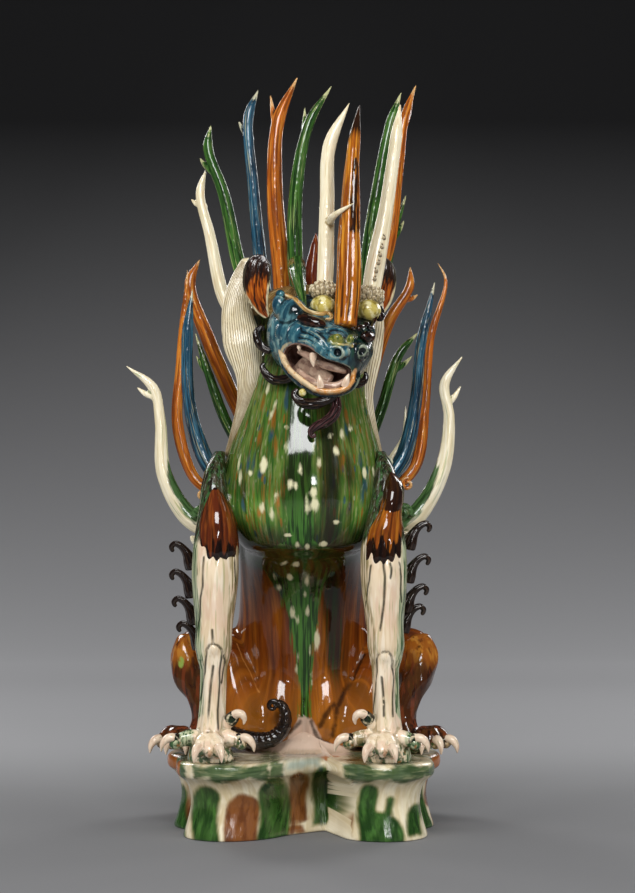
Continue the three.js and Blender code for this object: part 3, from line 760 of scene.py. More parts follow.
@dataclass(frozen=True)
class Drops(Layer):
    """Separate drops of glaze or of resist, drawn out by the firing."""

    size: tuple[float, float] = (11.0, 26.0)
    cover: float = 0.3  # the share of the cells that hold a drop
    girth: float = 0.3  # the drop's radius in cells

    def pattern(self, tree: bpy.types.NodeTree) -> bpy.types.NodeSocket:
        """Rounded spots in some of the cells."""
        settings = {"feature": "F1"}
        near = grain(tree, self.size, self.seed, kind=CELLS, settings=settings, output="Distance")
        which = grain(tree, self.size, self.seed, kind=CELLS, settings=settings, output="Color")
        chosen = add_node(tree, "ShaderNodeSeparateColor", {}, {0: which})
        full = add_node(tree, MATH, {"operation": "LESS_THAN"}, {0: chosen, 1: self.cover})
        spot = add_node(tree, RANGE, SMOOTH,
                        {"Value": near, "From Min": self.girth, "From Max": self.girth - 0.09})
        return add_node(tree, MATH, TIMES, {0: spot, 1: full})


@dataclass(frozen=True)
class Pool(Layer):
    """Glaze that gathered, thick and dark, in the hollows."""

    low: float = -0.05
    full: float = -0.5

    def pattern(self, tree: bpy.types.NodeTree) -> bpy.types.NodeSocket:
        """How deep the hollow is."""
        relief = add_node(tree, FIELD, {"attribute_name": "relief"}, {}, "Fac")
        return add_node(tree, RANGE, SMOOTH,
                        {"Value": relief, "From Min": self.low, "From Max": self.full})


@dataclass(frozen=True)
class Worn(Layer):
    """Glaze that drew off the ridges and tips, or wore off them."""

    low: float = 0.7
    full: float = 1.4
    patch: float = 7.0

    def pattern(self, tree: bpy.types.NodeTree) -> bpy.types.NodeSocket:
        """How sharp the ridge is, broken up by patches."""
        relief = add_node(tree, FIELD, {"attribute_name": "relief"}, {}, "Fac")
        noise = grain(tree, (self.patch, self.patch * 2), self.seed + 8, 3.0)
        sharp = add_node(tree, MATH, TIMES_PLUS, {0: noise, 1: 1.6, 2: relief})
        return add_node(tree, RANGE, SMOOTH,
                        {"Value": sharp, "From Min": self.low + 0.8, "From Max": self.full + 0.8})


@dataclass(frozen=True)
class Coat:
    """Runny lead glaze over white slip on fired earthenware.

    Poured and dabbed on, it ran in the kiln: to the eye it is wet and glassy, streaked down the piece, dark
    where it pooled and pale where it thinned over the ridges.
    """

    name: str
    base: str
    layers: tuple[Layer, ...] = ()
    slot: Slot = Slot.BEAST
    gloss: float = 0.1  # the roughness of the glassy parts
    dull: float = 0.2  # the roughness where the glaze is thin
    ripple: float = 0.22  # the height of the glaze's unevenness, in millimetres
    swell: tuple[float, float] = (7.0, 16.0)  # its width and length, in millimetres
    index: float = 1.62  # lead glass bends light more than window glass

    def dress(self) -> bpy.types.Material:
        """Makes the material.

        Returns:
            The material with its node tree.
        """
        material = bpy.data.materials.get(self.name)
        if material:
            return material
        material = bpy.data.materials.new(self.name)
        material.use_nodes = True
        tree = material.node_tree
        shader = tree.nodes["Principled BSDF"]
        colour = add_node(tree, "ShaderNodeRGB", {}, {})
        colour.default_value = linear(self.base)
        for layer in self.layers:
            colour = add_node(tree, MIX, {"data_type": "RGBA"},
                              {0: layer.mask(tree), 6: colour, 7: linear(layer.colour)}, 2)
        tree.links.new(colour, shader.inputs["Base Color"])
        patch = grain(tree, (14.0, 30.0), 5.3, 4.0)
        rough = add_node(tree, RANGE, {}, {"Value": patch, "From Min": 0.35, "From Max": 0.75,
                                           "To Min": self.gloss, "To Max": self.dull})
        tree.links.new(rough, shader.inputs["Roughness"])
        height = grain(tree, self.swell, 11.0, 2.5)
        bump = {"Strength": 1.0, "Distance": self.ripple * MM * 4, "Height": height}
        normal = add_node(tree, BUMP, {}, bump)
        tree.links.new(normal, shader.inputs["Normal"])
        shader.inputs["IOR"].default_value = self.index
        return material


def put(name: str, surface: Surface, coat: Coat, replaces: Sequence[str] = ()) -> None:
    """Makes the object of one piece, dressed and riding on the body.

    Args:
        name: The piece's name.
        surface: Its surface.
        coat: Its glaze.
        replaces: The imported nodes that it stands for.
    """
    if "relief" not in surface.fields:
        surface.with_relief()
    if "flow" not in surface.fields:
        surface.fields["flow"] = surface.points.copy()
    mesh = surface.mesh(name)
    mesh.materials.append(coat.dress())
    made = bpy.data.objects.new(name, mesh)
    bpy.context.scene.collection.objects.link(made)
    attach(made, "root")
    for node in replaces:
        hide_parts(node)
    LOG.info("%s: %d points in %s", name, len(surface.points), coat.name)


def near_line(points: np.ndarray, path: Path) -> np.ndarray:
    """The distance in millimetres of each point from a line through places, heights from the plinth's top."""
    line = raised(np.asarray(path, float))
    best = np.full(len(points), np.inf)
    for a, b in zip(line[:-1], line[1:]):
        run = b - a
        t = np.clip((points - a) @ run / max(run @ run, 1e-9), 0, 1)
        best = np.minimum(best, np.linalg.norm(points - a - t[:, None] * run, axis=1))
    return best


def near_spots(points: np.ndarray, spots: Sequence[tuple[Sequence[float], float]]) -> np.ndarray:
    """How many millimetres each point lies inside the nearest of some balls of given centres and radii."""
    best = np.full(len(points), -np.inf)
    for centre, radius in spots:
        best = np.maximum(best, radius - np.linalg.norm(points - raised(np.asarray(centre, float)), axis=1))
    return best


def side_name(side: int) -> str:
    """The side as the viewer names it."""
    return "left" if side == LEFT else "right"


def on_side(side: int, places: Path) -> list[tuple[float, float, float]]:
    """Right-hand places, moved to a side."""
    return [(side * x, y, z) for x, y, z in places]


# Each kind of skin's voxel in millimetres, its rounds of smoothing and the share of its triangles that stay,
# so that the whole figure has fewer than a million.
SPIKE_SKIN = (1.25, 3, 0.42)
WING_SKIN = (1.3, 3, 0.42)
TORSO_SKIN = (2.6, 6, 0.55)
HINDLEG_SKIN = (1.8, 3, 0.6)
FORELEG_SKIN = (1.6, 3, 0.6)
HEAD_SKIN = (1.3, 3, 0.65)

# Glaze colours, as the kiln left them.
CREAM = "#e8dcbc"
BONE = "#ddcfae"
GREEN = "#2f5c26"
LEAF = "#4f7f33"
DEEP_GREEN = "#12290f"
BLUE = "#1d4257"
NAVY = "#0c1c2a"
AMBER = "#b3601a"
HONEY = "#cf8a34"
CHESTNUT = "#6f3210"
RED_BROWN = "#6a2410"
UMBER = "#2c140b"
BLACK_BROWN = "#120a08"

CREAM_SPIKE = Coat("cream_glaze_spike", CREAM, (
    Runs("#cdbd93", 0.6, size=(3.0, 60.0), cover=0.35),
    Runs("#f2ead2", 0.7, size=(2.5, 40.0), cover=0.3, seed=4.0),
    Runs(HONEY, 0.5, size=(3.0, 50.0), cover=0.05, seed=9.0),
    Pool("#9c8552", 0.8),
), Slot.CREAM)


def cool_spike_coat(name: str, base: str, light: str, dark: str, fleck: Runs, worn: str, slot: Slot) -> Coat:
    """The glaze of a green or a blue spike, with pale flecks and a worn tip."""
    return Coat(name, base, (
        Runs(light, 0.8, size=(2.6, 60.0), cover=0.4),
        Runs(dark, 0.85, size=(3.2, 70.0), cover=0.4, seed=6.0),
        Pool(dark, 0.9),
        fleck,
        Worn(worn, 0.8, low=1.0, full=1.8),
    ), slot)


GREEN_SPIKE = cool_spike_coat("green_glaze_spike", "#294c1e", "#45702c", DEEP_GREEN,
                              Runs("#9fae6c", 0.7, size=(1.8, 46.0), cover=0.1, seed=14.0), "#c9c795",
                              Slot.GREEN)
BLUE_SPIKE = cool_spike_coat("blue_glaze_spike", BLUE, "#39697e", NAVY,
                             Runs("#b9b58f", 0.7, size=(1.6, 60.0), cover=0.08, seed=21.0), "#cfc9a8",
                             Slot.BLUE)
AMBER_SPIKE = Coat("amber_glaze_spike", AMBER, (
    Runs(HONEY, 0.7, size=(2.8, 50.0), cover=0.35),
    Runs(CHESTNUT, 0.85, size=(3.0, 60.0), cover=0.42, seed=6.0),
    Pool(UMBER, 0.9),
    Worn("#d9b27a", 0.7, low=1.1, full=1.9),
), Slot.AMBER)
RED_SPIKE = Coat("red_brown_glaze_spike", RED_BROWN, (
    Runs(AMBER, 0.6, size=(2.8, 40.0), cover=0.3),
    Pool(UMBER, 0.9),
), Slot.RED_BROWN)


@dataclass
class Spike:
    """A separately made spike, let into the body by a tenon: a bent, tapering blade, often with a barb."""

    name: str
    coat: Coat
    path: Path
    widths: Sequence[float]
    barb: Optional[Path] = None
    depth: float = 0.85
    tenon: float = 9.0
    ribs: float = 0.07
    barb_width: float = 5.0
    tip_start: float = 0.7  # the share of the blade where its tip begins
    tip_swell: float = 0.2

    def line(self) -> tuple[np.ndarray, np.ndarray]:
        """The blade's middle line from the tenon up, and its half widths.

        Returns:
            The places and as many half widths.
        """
        shares = np.linspace(0, 1, 70)
        places = spline(self.path, shares)
        # The tips stay thick until close to the point.
        near_tip = np.clip((shares - self.tip_start) / (1 - self.tip_start), 0, 1)
        widths = eased(self.widths, shares) * (1 + self.tip_swell * np.sin(np.pi * near_tip))
        foot, nearby = np.asarray(self.path[0], float), np.asarray(self.path[1], float)
        inwards = (foot - nearby) / np.linalg.norm(foot - nearby)
        return np.vstack([foot + inwards * self.tenon, places]), np.concatenate([widths[:1], widths])

    def blade(self) -> Surface:
        """The blade with its soft ribs."""
        places, widths = self.line()
        ribs = lambda a, t: 1 + self.ribs * np.cos(4 * a)
        return sweep(places, widths, self.depth, 20, 110, ribs, (0.0, 2.0), even=False)

    def parts(self) -> list[Surface]:
        """The closed surfaces that make the spike."""
        made = [self.blade()]
        if self.barb:
            root, *middle, tip = (np.asarray(p, float) for p in self.barb)
            places, _ = self.line()
            below = places[np.argmin(np.linalg.norm(places - (root + (root - tip) * 0.5), axis=1))]
            bend = middle or [root * 0.45 + tip * 0.55 - UP * 2]
            widths = [self.barb_width, self.barb_width, 3.4, 0.8]
            made.append(sweep([below, root, *bend, tip], widths, 0.85, 14, 34, blunt=(3.0, 2.0)))
        return made

    def surface(self) -> Surface:
        """The spike in one skin."""
        places, _ = self.line()
        return fuse(self.parts(), *SPIKE_SKIN).follow(places, phase_of(self.name))

    def build(self) -> None:
        """Makes the spike and hides the plain one."""
        put(self.name, self.surface(), self.coat, [self.name])


@dataclass
class Flame(Spike):
    """A two-pronged shoulder flame: a blue prong with an amber ribbon behind it, curled at the foot."""

    rear: Path = ()
    rear_widths: Sequence[float] = ()
    curls: Path = ()
    side: int = LEFT

    def build(self) -> None:
        """Makes the blue prong with its curl, and the amber ribbon with its own."""
        places, _ = self.line()
        blue_curl, amber_curl = self.curls
        roll = scroll(blue_curl, 8.0, 3.4, -60 if self.side == LEFT else 240, 1.35, -self.side, 1.3, 3)
        prong = fuse([self.blade(), roll], *SPIKE_SKIN).follow(places, phase_of(self.name))
        put(self.name, prong, self.coat, [self.name])
        ribs = lambda a, t: 1 + 0.08 * np.cos(4 * a)
        ribbon = sweep(self.rear, self.rear_widths, 0.8, 16, 100, ribs, (2, 2))
        roll = scroll(amber_curl, 7.5, 3.2, 80, 1.2, self.side, 1.3, 3)
        skin = fuse([ribbon, roll], *SPIKE_SKIN).follow(self.rear, phase_of(self.name) + 40)
        put(self.name + "_ribbon", skin, AMBER_SPIKE)


@dataclass
class Wing(Spike):
    """A large cream wing: an upright blade with runs of green, its foot curled against the sleeve."""

    curls: Path = ()
    side: int = LEFT

    def build(self) -> None:
        """Makes the wing with its two scrolls."""
        places, _ = self.line()
        upper, lower = self.curls
        turn = 200 if self.side == LEFT else -20
        rolls = [
            scroll(upper, 10.0, 4.4, turn, 1.4, self.side, 1.3, 4),
            scroll(lower, 8.5, 3.8, -turn, 1.3, -self.side, 1.3, 3),
        ]
        skin = fuse([*self.parts(), *rolls], *WING_SKIN).follow(places, phase_of(self.name))
        share = skin.fields["share"]
        outer = skin.fields["side"] * -self.side
        skin.fields["green_run"] = -outer - 1.5 - 14 * step(0.30, 0.62, share) + 5 * step(0.3, 0.0, share)
        put(self.name, skin, WING, [self.name])


@dataclass
class Antler(Spike):
    """A cream antler in a knobbed burr, with beads of clay up its right edge."""

    beads: Path = ()
    # Height, girth, count and size of the knobs in each ring of the burr.
    knobs: Path = ((5, 12.5, 13, 3.0), (9, 15, 15, 3.4), (13.5, 14, 14, 3.2), (18, 10.5, 11, 2.8))

    def burr(self) -> list[Surface]:
        """The ring of knobs round the antler's foot."""
        foot, above = (np.asarray(p, float) for p in self.path[:2])
        along = (above - foot) / np.linalg.norm(above - foot)
        across = np.cross(along, BACK)
        across /= np.linalg.norm(across)
        through = np.cross(along, across)
        knobs = []
        for row, (height, girth, count, size) in enumerate(self.knobs):
            for k in range(count):
                angle = 2 * math.pi * (k + 0.5 * (row % 2)) / count
                reach = girth * (1 + 0.06 * math.sin(5 * k + row))
                rise = height + 1.3 * math.sin(3.1 * k + row)
                centre = foot + along * rise + across * reach * math.cos(angle)
                centre = centre + through * reach * 0.8 * math.sin(angle)
                knobs.append(boss(centre, (size, size, size * 1.15), 10, 7))
        core = sweep([foot + along * 3, foot + along * 20], [11, 13, 13, 9], 0.82, 24, 16, blunt=(3, 3))
        return [core, *knobs]

    def build(self) -> None:
        """Makes the antler, its burr and its beads."""
        skin = self.surface()
        put(self.name, skin, self.coat, [self.name])
        put(self.name + "_burr", Surface.joined(self.burr()), BURR)
        beads = []
        for k, spot in enumerate(self.beads):
            centre = np.asarray(spot, float)
            beads.append(boss(centre, (2.6, 2.6, 2.9), 12, 8))
            beads.append(boss(centre + np.array([1.2 * math.sin(9 * k), -1.6, 3.6]), (1.6, 1.6, 1.8), 10, 7))
        put(self.name + "_beads", Surface.joined(beads), BURR)


@dataclass
class BrowFlame(Spike):
    """The tall fluted flame on the brow, amber below and black at the tip."""

    def build(self) -> None:
        """Makes the flame with its flutes."""
        places, widths = self.line()
        shape = lambda a, t: 1 + 0.05 * np.cos(9 * a) * (1 - 0.5 * t) + 0.03 * np.sin(3 * a + 21 * t)
        skin = sweep(places, widths, self.depth, 72, 170, shape, (0, 2), phase_of(self.name), even=False)
        share = skin.fields["share"]
        length = np.linalg.norm(np.diff(places, axis=0), axis=1).sum()
        skin.fields["black_tip"] = (share - 0.86) * length
        aside = skin.fields["flow"][:, 0] - phase_of(self.name) + 4.5
        ends = step(0.42, 0.3, share) + step(0.72, 0.86, share)
        skin.fields["black_run"] = 4.5 - np.abs(aside) - 60 * ends
        put(self.name, skin, FLAME, [self.name])


WING = Coat("wing_glaze", CREAM, (
    Runs("#d2c298", 0.6, size=(4.0, 60.0), cover=0.4),
    Runs("#f4ecd6", 0.7, size=(3.0, 50.0), cover=0.35, seed=2.0),
    Runs(LEAF, 0.5, size=(3.0, 60.0), cover=0.1, seed=17.0),
    Layer(GREEN, 0.95, within="green_run", edge=2.0, wander=3.5, stray=(4.0, 26.0)),
    Runs(DEEP_GREEN, 0.7, within="green_run", size=(3.0, 30.0), cover=0.35, seed=12.0),
    Pool("#5d6a3a", 0.75),
), Slot.CREAM)
BURR = Coat("burr_glaze", BONE, (
    Runs("#6b5326", 0.7, size=(5.0, 6.0), cover=0.45),
    Pool("#2a1c0e", 0.95, low=0.25, full=-0.15),
    Runs(UMBER, 0.8, size=(4.0, 5.0), cover=0.22, seed=7.0),
), Slot.CREAM)
FLAME = Coat("brow_flame_glaze", "#a45c15", (
    Runs("#c9892b", 0.8, size=(2.4, 60.0), cover=0.42),
    Runs(CHESTNUT, 0.85, size=(2.2, 50.0), cover=0.42, seed=5.0),
    Pool(UMBER, 0.8),
    Runs(BLACK_BROWN, 0.95, within="black_run", size=(3.0, 40.0), cover=0.7, seed=3.0, edge=2.0),
    Layer(BLACK_BROWN, 0.95, within="black_tip", edge=8.0, wander=8.0, stray=(4.0, 40.0)),
), Slot.AMBER, gloss=0.08, dull=0.14)

# The separately made spikes, from the foot up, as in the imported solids.
SPIKES = (
    Spike("spike_crown_cream_left", CREAM_SPIKE,
          [[-80, 8, 520], [-100, 20, 556], [-117, 32, 632], [-129, 41, 683], [-122, 45, 714]],
          [7.5, 8, 6.5, 5, 0.8], [[-125, 39, 668], [-141, 45, 677]]),
    Spike("spike_crown_green_left", GREEN_SPIKE,
          [[-62, 14, 548], [-80, 20, 593], [-99, 30, 680], [-119, 40, 739], [-116, 45, 769]],
          [8.5, 8.5, 7, 5.5, 0.8], [[-115, 36, 712], [-130, 45, 728]]),
    Spike("spike_crown_blue_left", BLUE_SPIKE,
          [[-48, 8, 556], [-54, 13, 600], [-63, 24, 692], [-69, 38, 778], [-57, 45, 813]],
          [8, 8, 6.5, 5.5, 0.8], [[-67, 36, 752], [-82, 45, 774]]),
    Spike("spike_crown_amber_left", AMBER_SPIKE,
          [[-27, -6, 558], [-29, 1, 596], [-36, 12, 685], [-32, 24, 770], [-8, 36, 828]],
          [9.5, 10.5, 9.5, 7, 0.8], [[-34, 22, 756], [-42, 35, 806]]),
    Spike("spike_crown_green_middle", GREEN_SPIKE,
          [[-4, -22, 552], [-10, -14, 590], [-9, -3, 689], [7, 9, 768], [34, 20, 814]],
          [9.5, 9.5, 8, 5.5, 0.8], [[0, 5, 742], [1, 20, 788]]),
    Spike("spike_nape_red", RED_SPIKE, [[9, 4, 556], [11, 9, 592], [15, 15, 633]], [10, 8.5, 0.8]),
    Spike("spike_crown_green_right", GREEN_SPIKE,
          [[74, -18, 548], [78, -8, 606], [91, 5, 690], [106, 18, 766], [120, 25, 807]], [8, 8, 7, 5.5, 0.8]),
    Spike("spike_crown_amber_right", AMBER_SPIKE,
          [[77, 0, 548], [102, 10, 610], [116, 22, 712], [124, 32, 775], [139, 45, 819]], [8, 8, 6.5, 5, 0.8],
          [[122, 30, 760], [135, 45, 800]]),
    Spike("spike_crown_green_short", GREEN_SPIKE,
          [[74, 16, 524], [99, 27, 584], [110, 38, 632], [127, 50, 683]], [7, 6.5, 5, 0.8],
          [[109, 37, 625], [125, 50, 652]]),
    Spike("spike_shoulder_amber_left", AMBER_SPIKE,
          [[-66, 26, 384], [-88, 31, 430], [-119, 40, 502], [-142, 49, 572], [-130, 55, 603]],
          [8, 9, 8.5, 6, 0.8]),
    Spike("spike_shoulder_amber_right", AMBER_SPIKE,
          [[68, 26, 390], [84, 30, 463], [106, 40, 526], [131, 49, 568], [132, 55, 594]], [8, 8, 7, 5, 0.8],
          [[124, 47, 552], [142, 55, 559]]),
    Spike("spike_shoulder_green_left", GREEN_SPIKE,
          [[-74, 6, 358], [-98, 17, 404], [-115, 26, 450], [-135, 35, 510]], [6, 6.5, 5.5, 0.8],
          [[-117, 28, 458], [-134, 35, 482]]),
    Spike("spike_shoulder_green_right", GREEN_SPIKE,
          [[74, 6, 358], [96, 17, 418], [116, 28, 480], [141, 36, 511]], [6, 6.5, 5.5, 0.8],
          [[110, 25, 462], [134, 35, 482]]),
    Spike("spike_shoulder_short_left", CREAM_SPIKE,
          [[-98, -36, 334], [-112, -31, 352], [-122, -25, 376], [-129, -15, 402]], [5, 4.5, 3.5, 0.8]),
    Spike("spike_shoulder_short_right", CREAM_SPIKE,
          [[92, -36, 334], [106, -30, 354], [122, -24, 382], [124, -15, 420]], [5, 4.5, 3.5, 0.8]),
    Flame("flame_shoulder_left", BLUE_SPIKE,
          [[-100, -56, 322], [-122, -42, 361], [-138, -32, 416], [-142, -20, 499], [-136, -10, 562]],
          [8, 9.5, 7.5, 6.5, 0.8],
          rear=[[-112, -48, 314], [-134, -38, 334], [-153, -30, 395], [-150, -20, 470], [-142, -5, 587]],
          rear_widths=[6, 7, 6, 5, 0.8], curls=[[-107, -58, 346], [-122, -54, 312]], side=LEFT),
    Flame("flame_shoulder_right", BLUE_SPIKE,
          [[97, -56, 322], [121, -42, 359], [135, -32, 420], [143, -20, 492], [160, -10, 572]],
          [8, 9.5, 7.5, 6.5, 0.8],
          rear=[[110, -48, 318], [135, -38, 346], [147, -30, 420], [154, -20, 500], [173, -9, 572],
                [163, -5, 595]],
          rear_widths=[6, 7, 5.5, 5, 3.5, 0.8], curls=[[100, -58, 350], [125, -54, 324]], side=RIGHT),
    Wing("wing_left", CREAM_SPIKE,
         [[-108, -70, 268], [-140, -58, 287], [-168, -53, 337], [-173, -49, 400], [-182, -44, 440],
          [-215, -40, 467]],
         [12, 11.5, 9, 6.5, 5, 0.8], [[-178, -45, 428], [-202, -40, 441]],
         curls=[[-120, -76, 288], [-124, -76, 260]], side=LEFT),
    Wing("wing_right", CREAM_SPIKE,
         [[108, -70, 268], [138, -58, 290], [168, -53, 346], [175, -49, 405], [170, -44, 445],
          [192, -40, 479]],
         [12, 11.5, 9, 6.5, 5, 0.8], [[172, -45, 418], [190, -40, 443]],
         curls=[[118, -76, 290], [124, -76, 262]], side=RIGHT),
    Antler("antler_left", CREAM_SPIKE,
           [[24, -96, 544], [26, -84, 580], [28, -70, 661], [31, -62, 730], [55, -55, 783]],
           [9, 9.5, 8.5, 7, 0.8], [[30, -74, 634], [36, -98, 643], [60, -112, 657]],
           beads=[seen_at(340, y, -92 + 0.16 * (277 - y)) for y in (236, 244, 252, 260, 268, 275)]),
    Antler("antler_right", CREAM_SPIKE,
           [[78, -76, 540], [86, -62, 587], [99, -48, 655], [111, -36, 739], [117, -28, 786]],
           [10, 11, 8.5, 6.5, 0.8],
           beads=[seen_at(382.5 - 0.23 * (y - 245), y, -78) for y in (238, 247, 255, 263, 271, 279)]),
    BrowFlame("brow_flame", FLAME,
              [[50, -128, 518], [53, -116, 556], [55, -96, 640], [60, -74, 730], [67, -56, 780]],
              [13, 14.5, 12, 6.8, 0.8], depth=0.95),
)


@dataclass
class Plinth:
    """The lobed stand: a spreading foot, a drawn-in waist, an overhanging rim and a low mound."""

    blend: float = 26.0
    lobes: Path = (
        (-93, -110, 56), (-64, -100, 44), (-25, -63, 44), (94, -110, 60), (-115, -28, 50), (115, -28, 50),
        (-100, 70, 60), (100, 70, 60), (0, 105, 58), (18, -27, 52),
    )
    # Height and how far the outline is drawn in there.
    profile: Path = (
        (0, 11), (0.6, 8.6), (3, 8.2), (16, 12.2), (40, 17), (58, 14.2), (66, 9.5), (70.5, 4.6), (73, 1.6),
        (77, 0.1), (82, 0), (86, 0.9), (88.8, 3.4), (90, 7), (90, 14),
    )
    mound: Path = ((0, 26), (30, 25.5), (45, 21.5), (58, 14), (66, 3), (70, 0))
    mound_centre: tuple[float, float] = (0.0, 8.0)
    sides: int = 560
    # Patches of glaze that ran down the front: left and right edge in x, bottom and top height.
    green: Path = (
        (-130, -99, -4, 64), (-52, -17, -4, 68), (-45, -23, 20, 72), (11, 33, 8, 79), (64, 86, -6, 67),
        (64, 116, -12, 34), (122, 139, 6, 40), (-168, -140, -10, 52), (96, 104, 20, 52),
    )
    amber: Path = ((-91, -52, -4, 54), (-18, 4, 14, 74), (43, 56, -4, 78), (146, 162, 24, 70),
                   (-22, 2, 2, 12))

    recess_wall: tuple[float, float] = (44.0, 12.0)  # its middle in x, and half its width

    def outline(self, inset: float) -> np.ndarray:
        """The outline drawn in by an inset.

        Args:
            inset: How far, in millimetres.

        Returns:
            The distance from the middle for each of the directions.
        """
        angle = 2 * np.pi * np.arange(self.sides) / self.sides
        direction = np.stack([np.cos(angle), np.sin(angle)], axis=-1)
        soft = self.blend / 2

        def outside(reach: np.ndarray) -> np.ndarray:
            """How far outside the drawn-in outline each point lies."""
            spot = direction * reach[:, None]
            gaps = (np.hypot(spot[:, 0] - x, spot[:, 1] - y) - r for x, y, r in self.lobes)
            total = sum(np.exp(-gap / soft) for gap in gaps)
            return -soft * np.log(total) + inset

        high = np.full(self.sides, 262.0)
        low = high - 2
        for _ in range(130):
            out = outside(low) >= 0
            high = np.where(out, low, high)
            low = np.where(out, low - 2, low)
        for _ in range(16):
            middle = (low + high) / 2
            inside = outside(middle) < 0
            low, high = np.where(inside, middle, low), np.where(inside, high, middle)
        return low

    def top(self, x: np.ndarray, y: np.ndarray) -> np.ndarray:
        """How high the mound stands over a place on the top."""
        away = np.hypot(x - self.mound_centre[0], y - self.mound_centre[1])
        table = np.asarray(self.mound, float)
        return np.interp(away, table[:, 0], table[:, 1])

    def build(self) -> BVHTree:
        """Makes the plinth.

        Returns:
            Its search tree, for what stands on it.
        """
        profile = spline(self.profile, np.linspace(0, 1, 48))
        insets = np.linspace(profile[:, 1].min(), profile[:, 1].max(), 14)
        table = np.stack([self.outline(inset) for inset in insets])
        angle = 2 * np.pi * np.arange(self.sides) / self.sides
        cos, sin = np.cos(angle), np.sin(angle)
        rings = []
        for height, inset in profile:
            spot = np.clip((inset - insets[0]) / (insets[-1] - insets[0]) * 13, 0, 12.999)
            low = int(spot)
            reach = table[low] * (low + 1 - spot) + table[low + 1] * (spot - low)
            rings.append(np.stack([reach * cos, reach * sin, np.full(self.sides, height)], -1))
        edge = rings[-1]
        for share in np.linspace(0.98, 0.02, 28):
            ring = edge * [share, share, 1]
            ring[:, 2] += self.top(ring[:, 0], ring[:, 1])
            rings.append(ring)
        rim = table[0]
        corners = np.stack([rim * cos, rim * sin], -1)
        span = np.linalg.norm(np.roll(corners, -1, 0) - corners, axis=1)
        run = np.concatenate([[0], np.cumsum(span)[:-1]])
        radius = span.sum() / (2 * np.pi)
        turn = run / radius
        round_x, round_y = radius * np.cos(turn), radius * np.sin(turn)
        flow = np.stack([np.stack([round_x, round_y, ring[:, 2]], -1) for ring in rings])
        for k, ring in enumerate(rings[len(profile):]):
            # On the top the pattern lies flat, away from the walls' own.
            flow[len(profile) + k] = np.stack([ring[:, 0], ring[:, 1] * 0.4, ring[:, 1]], -1) + 300
        surface = loft(np.stack(rings), flow)
        self.paint(surface)
        put("plinth_body", surface, PLINTH, ["plinth"])
        return surface.tree()

    def paint(self, surface: Surface) -> None:
        """Adds the zones of the glazes."""
        x, y, z = surface.points.T
        front = np.where(y < -20, 0.0, -200.0)
        for name, patches in (("green_patch", self.green), ("amber_patch", self.amber)):
            best = np.full(len(x), -50.0)
            for left, right, bottom, top in patches:
                half = (right - left) / 2
                lean = 1.6 * np.sin(0.11 * z + left)
                aside = np.abs(x - (left + right) / 2 - lean)
                # Each patch ends in a round head above.
                head = half - np.hypot(aside, np.clip(z - (top - half), 0, None))
                best = np.maximum(best, np.minimum(head, z - bottom) + front)
            # The wall that runs back beside the recess is left cream.
            middle, half = self.recess_wall
            surface.fields[name] = best - 5 * np.clip(half - np.abs(x - middle), 0, None)
        # Round the sides and the back the glazes alternate.
        turn = np.arctan2(x, -y)
        behind = 40 * step(-95, -60, y) - 40
        waves = {
            "green_patch": 9 * np.sin(7.0 * turn + 0.6) + 5 * np.sin(17 * turn) - 0.18 * (z - 45) - 4,
            "amber_patch": 9 * np.sin(7.0 * turn + 3.2) + 4 * np.sin(13 * turn + 1) - 0.15 * (z - 45) - 5,
        }
        for name, wave in waves.items():
            surface.fields[name] = np.maximum(surface.fields[name], wave + behind - 60 * (z > 88))
        rim = 9 - np.abs(z - 80)
        bands = np.max([half - np.abs(x - place) for place, half in (
            (-84, 44), (-31, 8), (98, 50), (-150, 12), (152, 12))], axis=0)
        surface.fields["green_rim"] = np.minimum(bands, rim + 3 * np.sin(0.12 * x))
        surface.fields["amber_rim"] = np.maximum(
            near_spots(surface.points, [((-152, -120, -10), 14), ((130, -140, -10), 9), ((32, -84, -7), 13)]),
            np.minimum(rim, 12 * np.sin(5 * turn + 1.5) - 6 + behind))
        blue = np.minimum(20 - np.abs(x), 6 - np.abs(z - 85))
        surface.fields["blue_rim"] = np.where((y < -20) & (z < 92), blue, -40.0)
        paws = [((side * reach, -124, 2), 44.0) for side, reach in ((LEFT, 109), (RIGHT, 102))]
        paws += [((side * 146, -60, 2), 40.0) for side in (LEFT, RIGHT)]
        on_top = np.where(z > 87, 0.0, -60.0)
        surface.fields["green_top"] = near_spots(surface.points, paws) - 16 + on_top
        surface.fields["mound"] = 84 - np.hypot(x, y + 2) + on_top


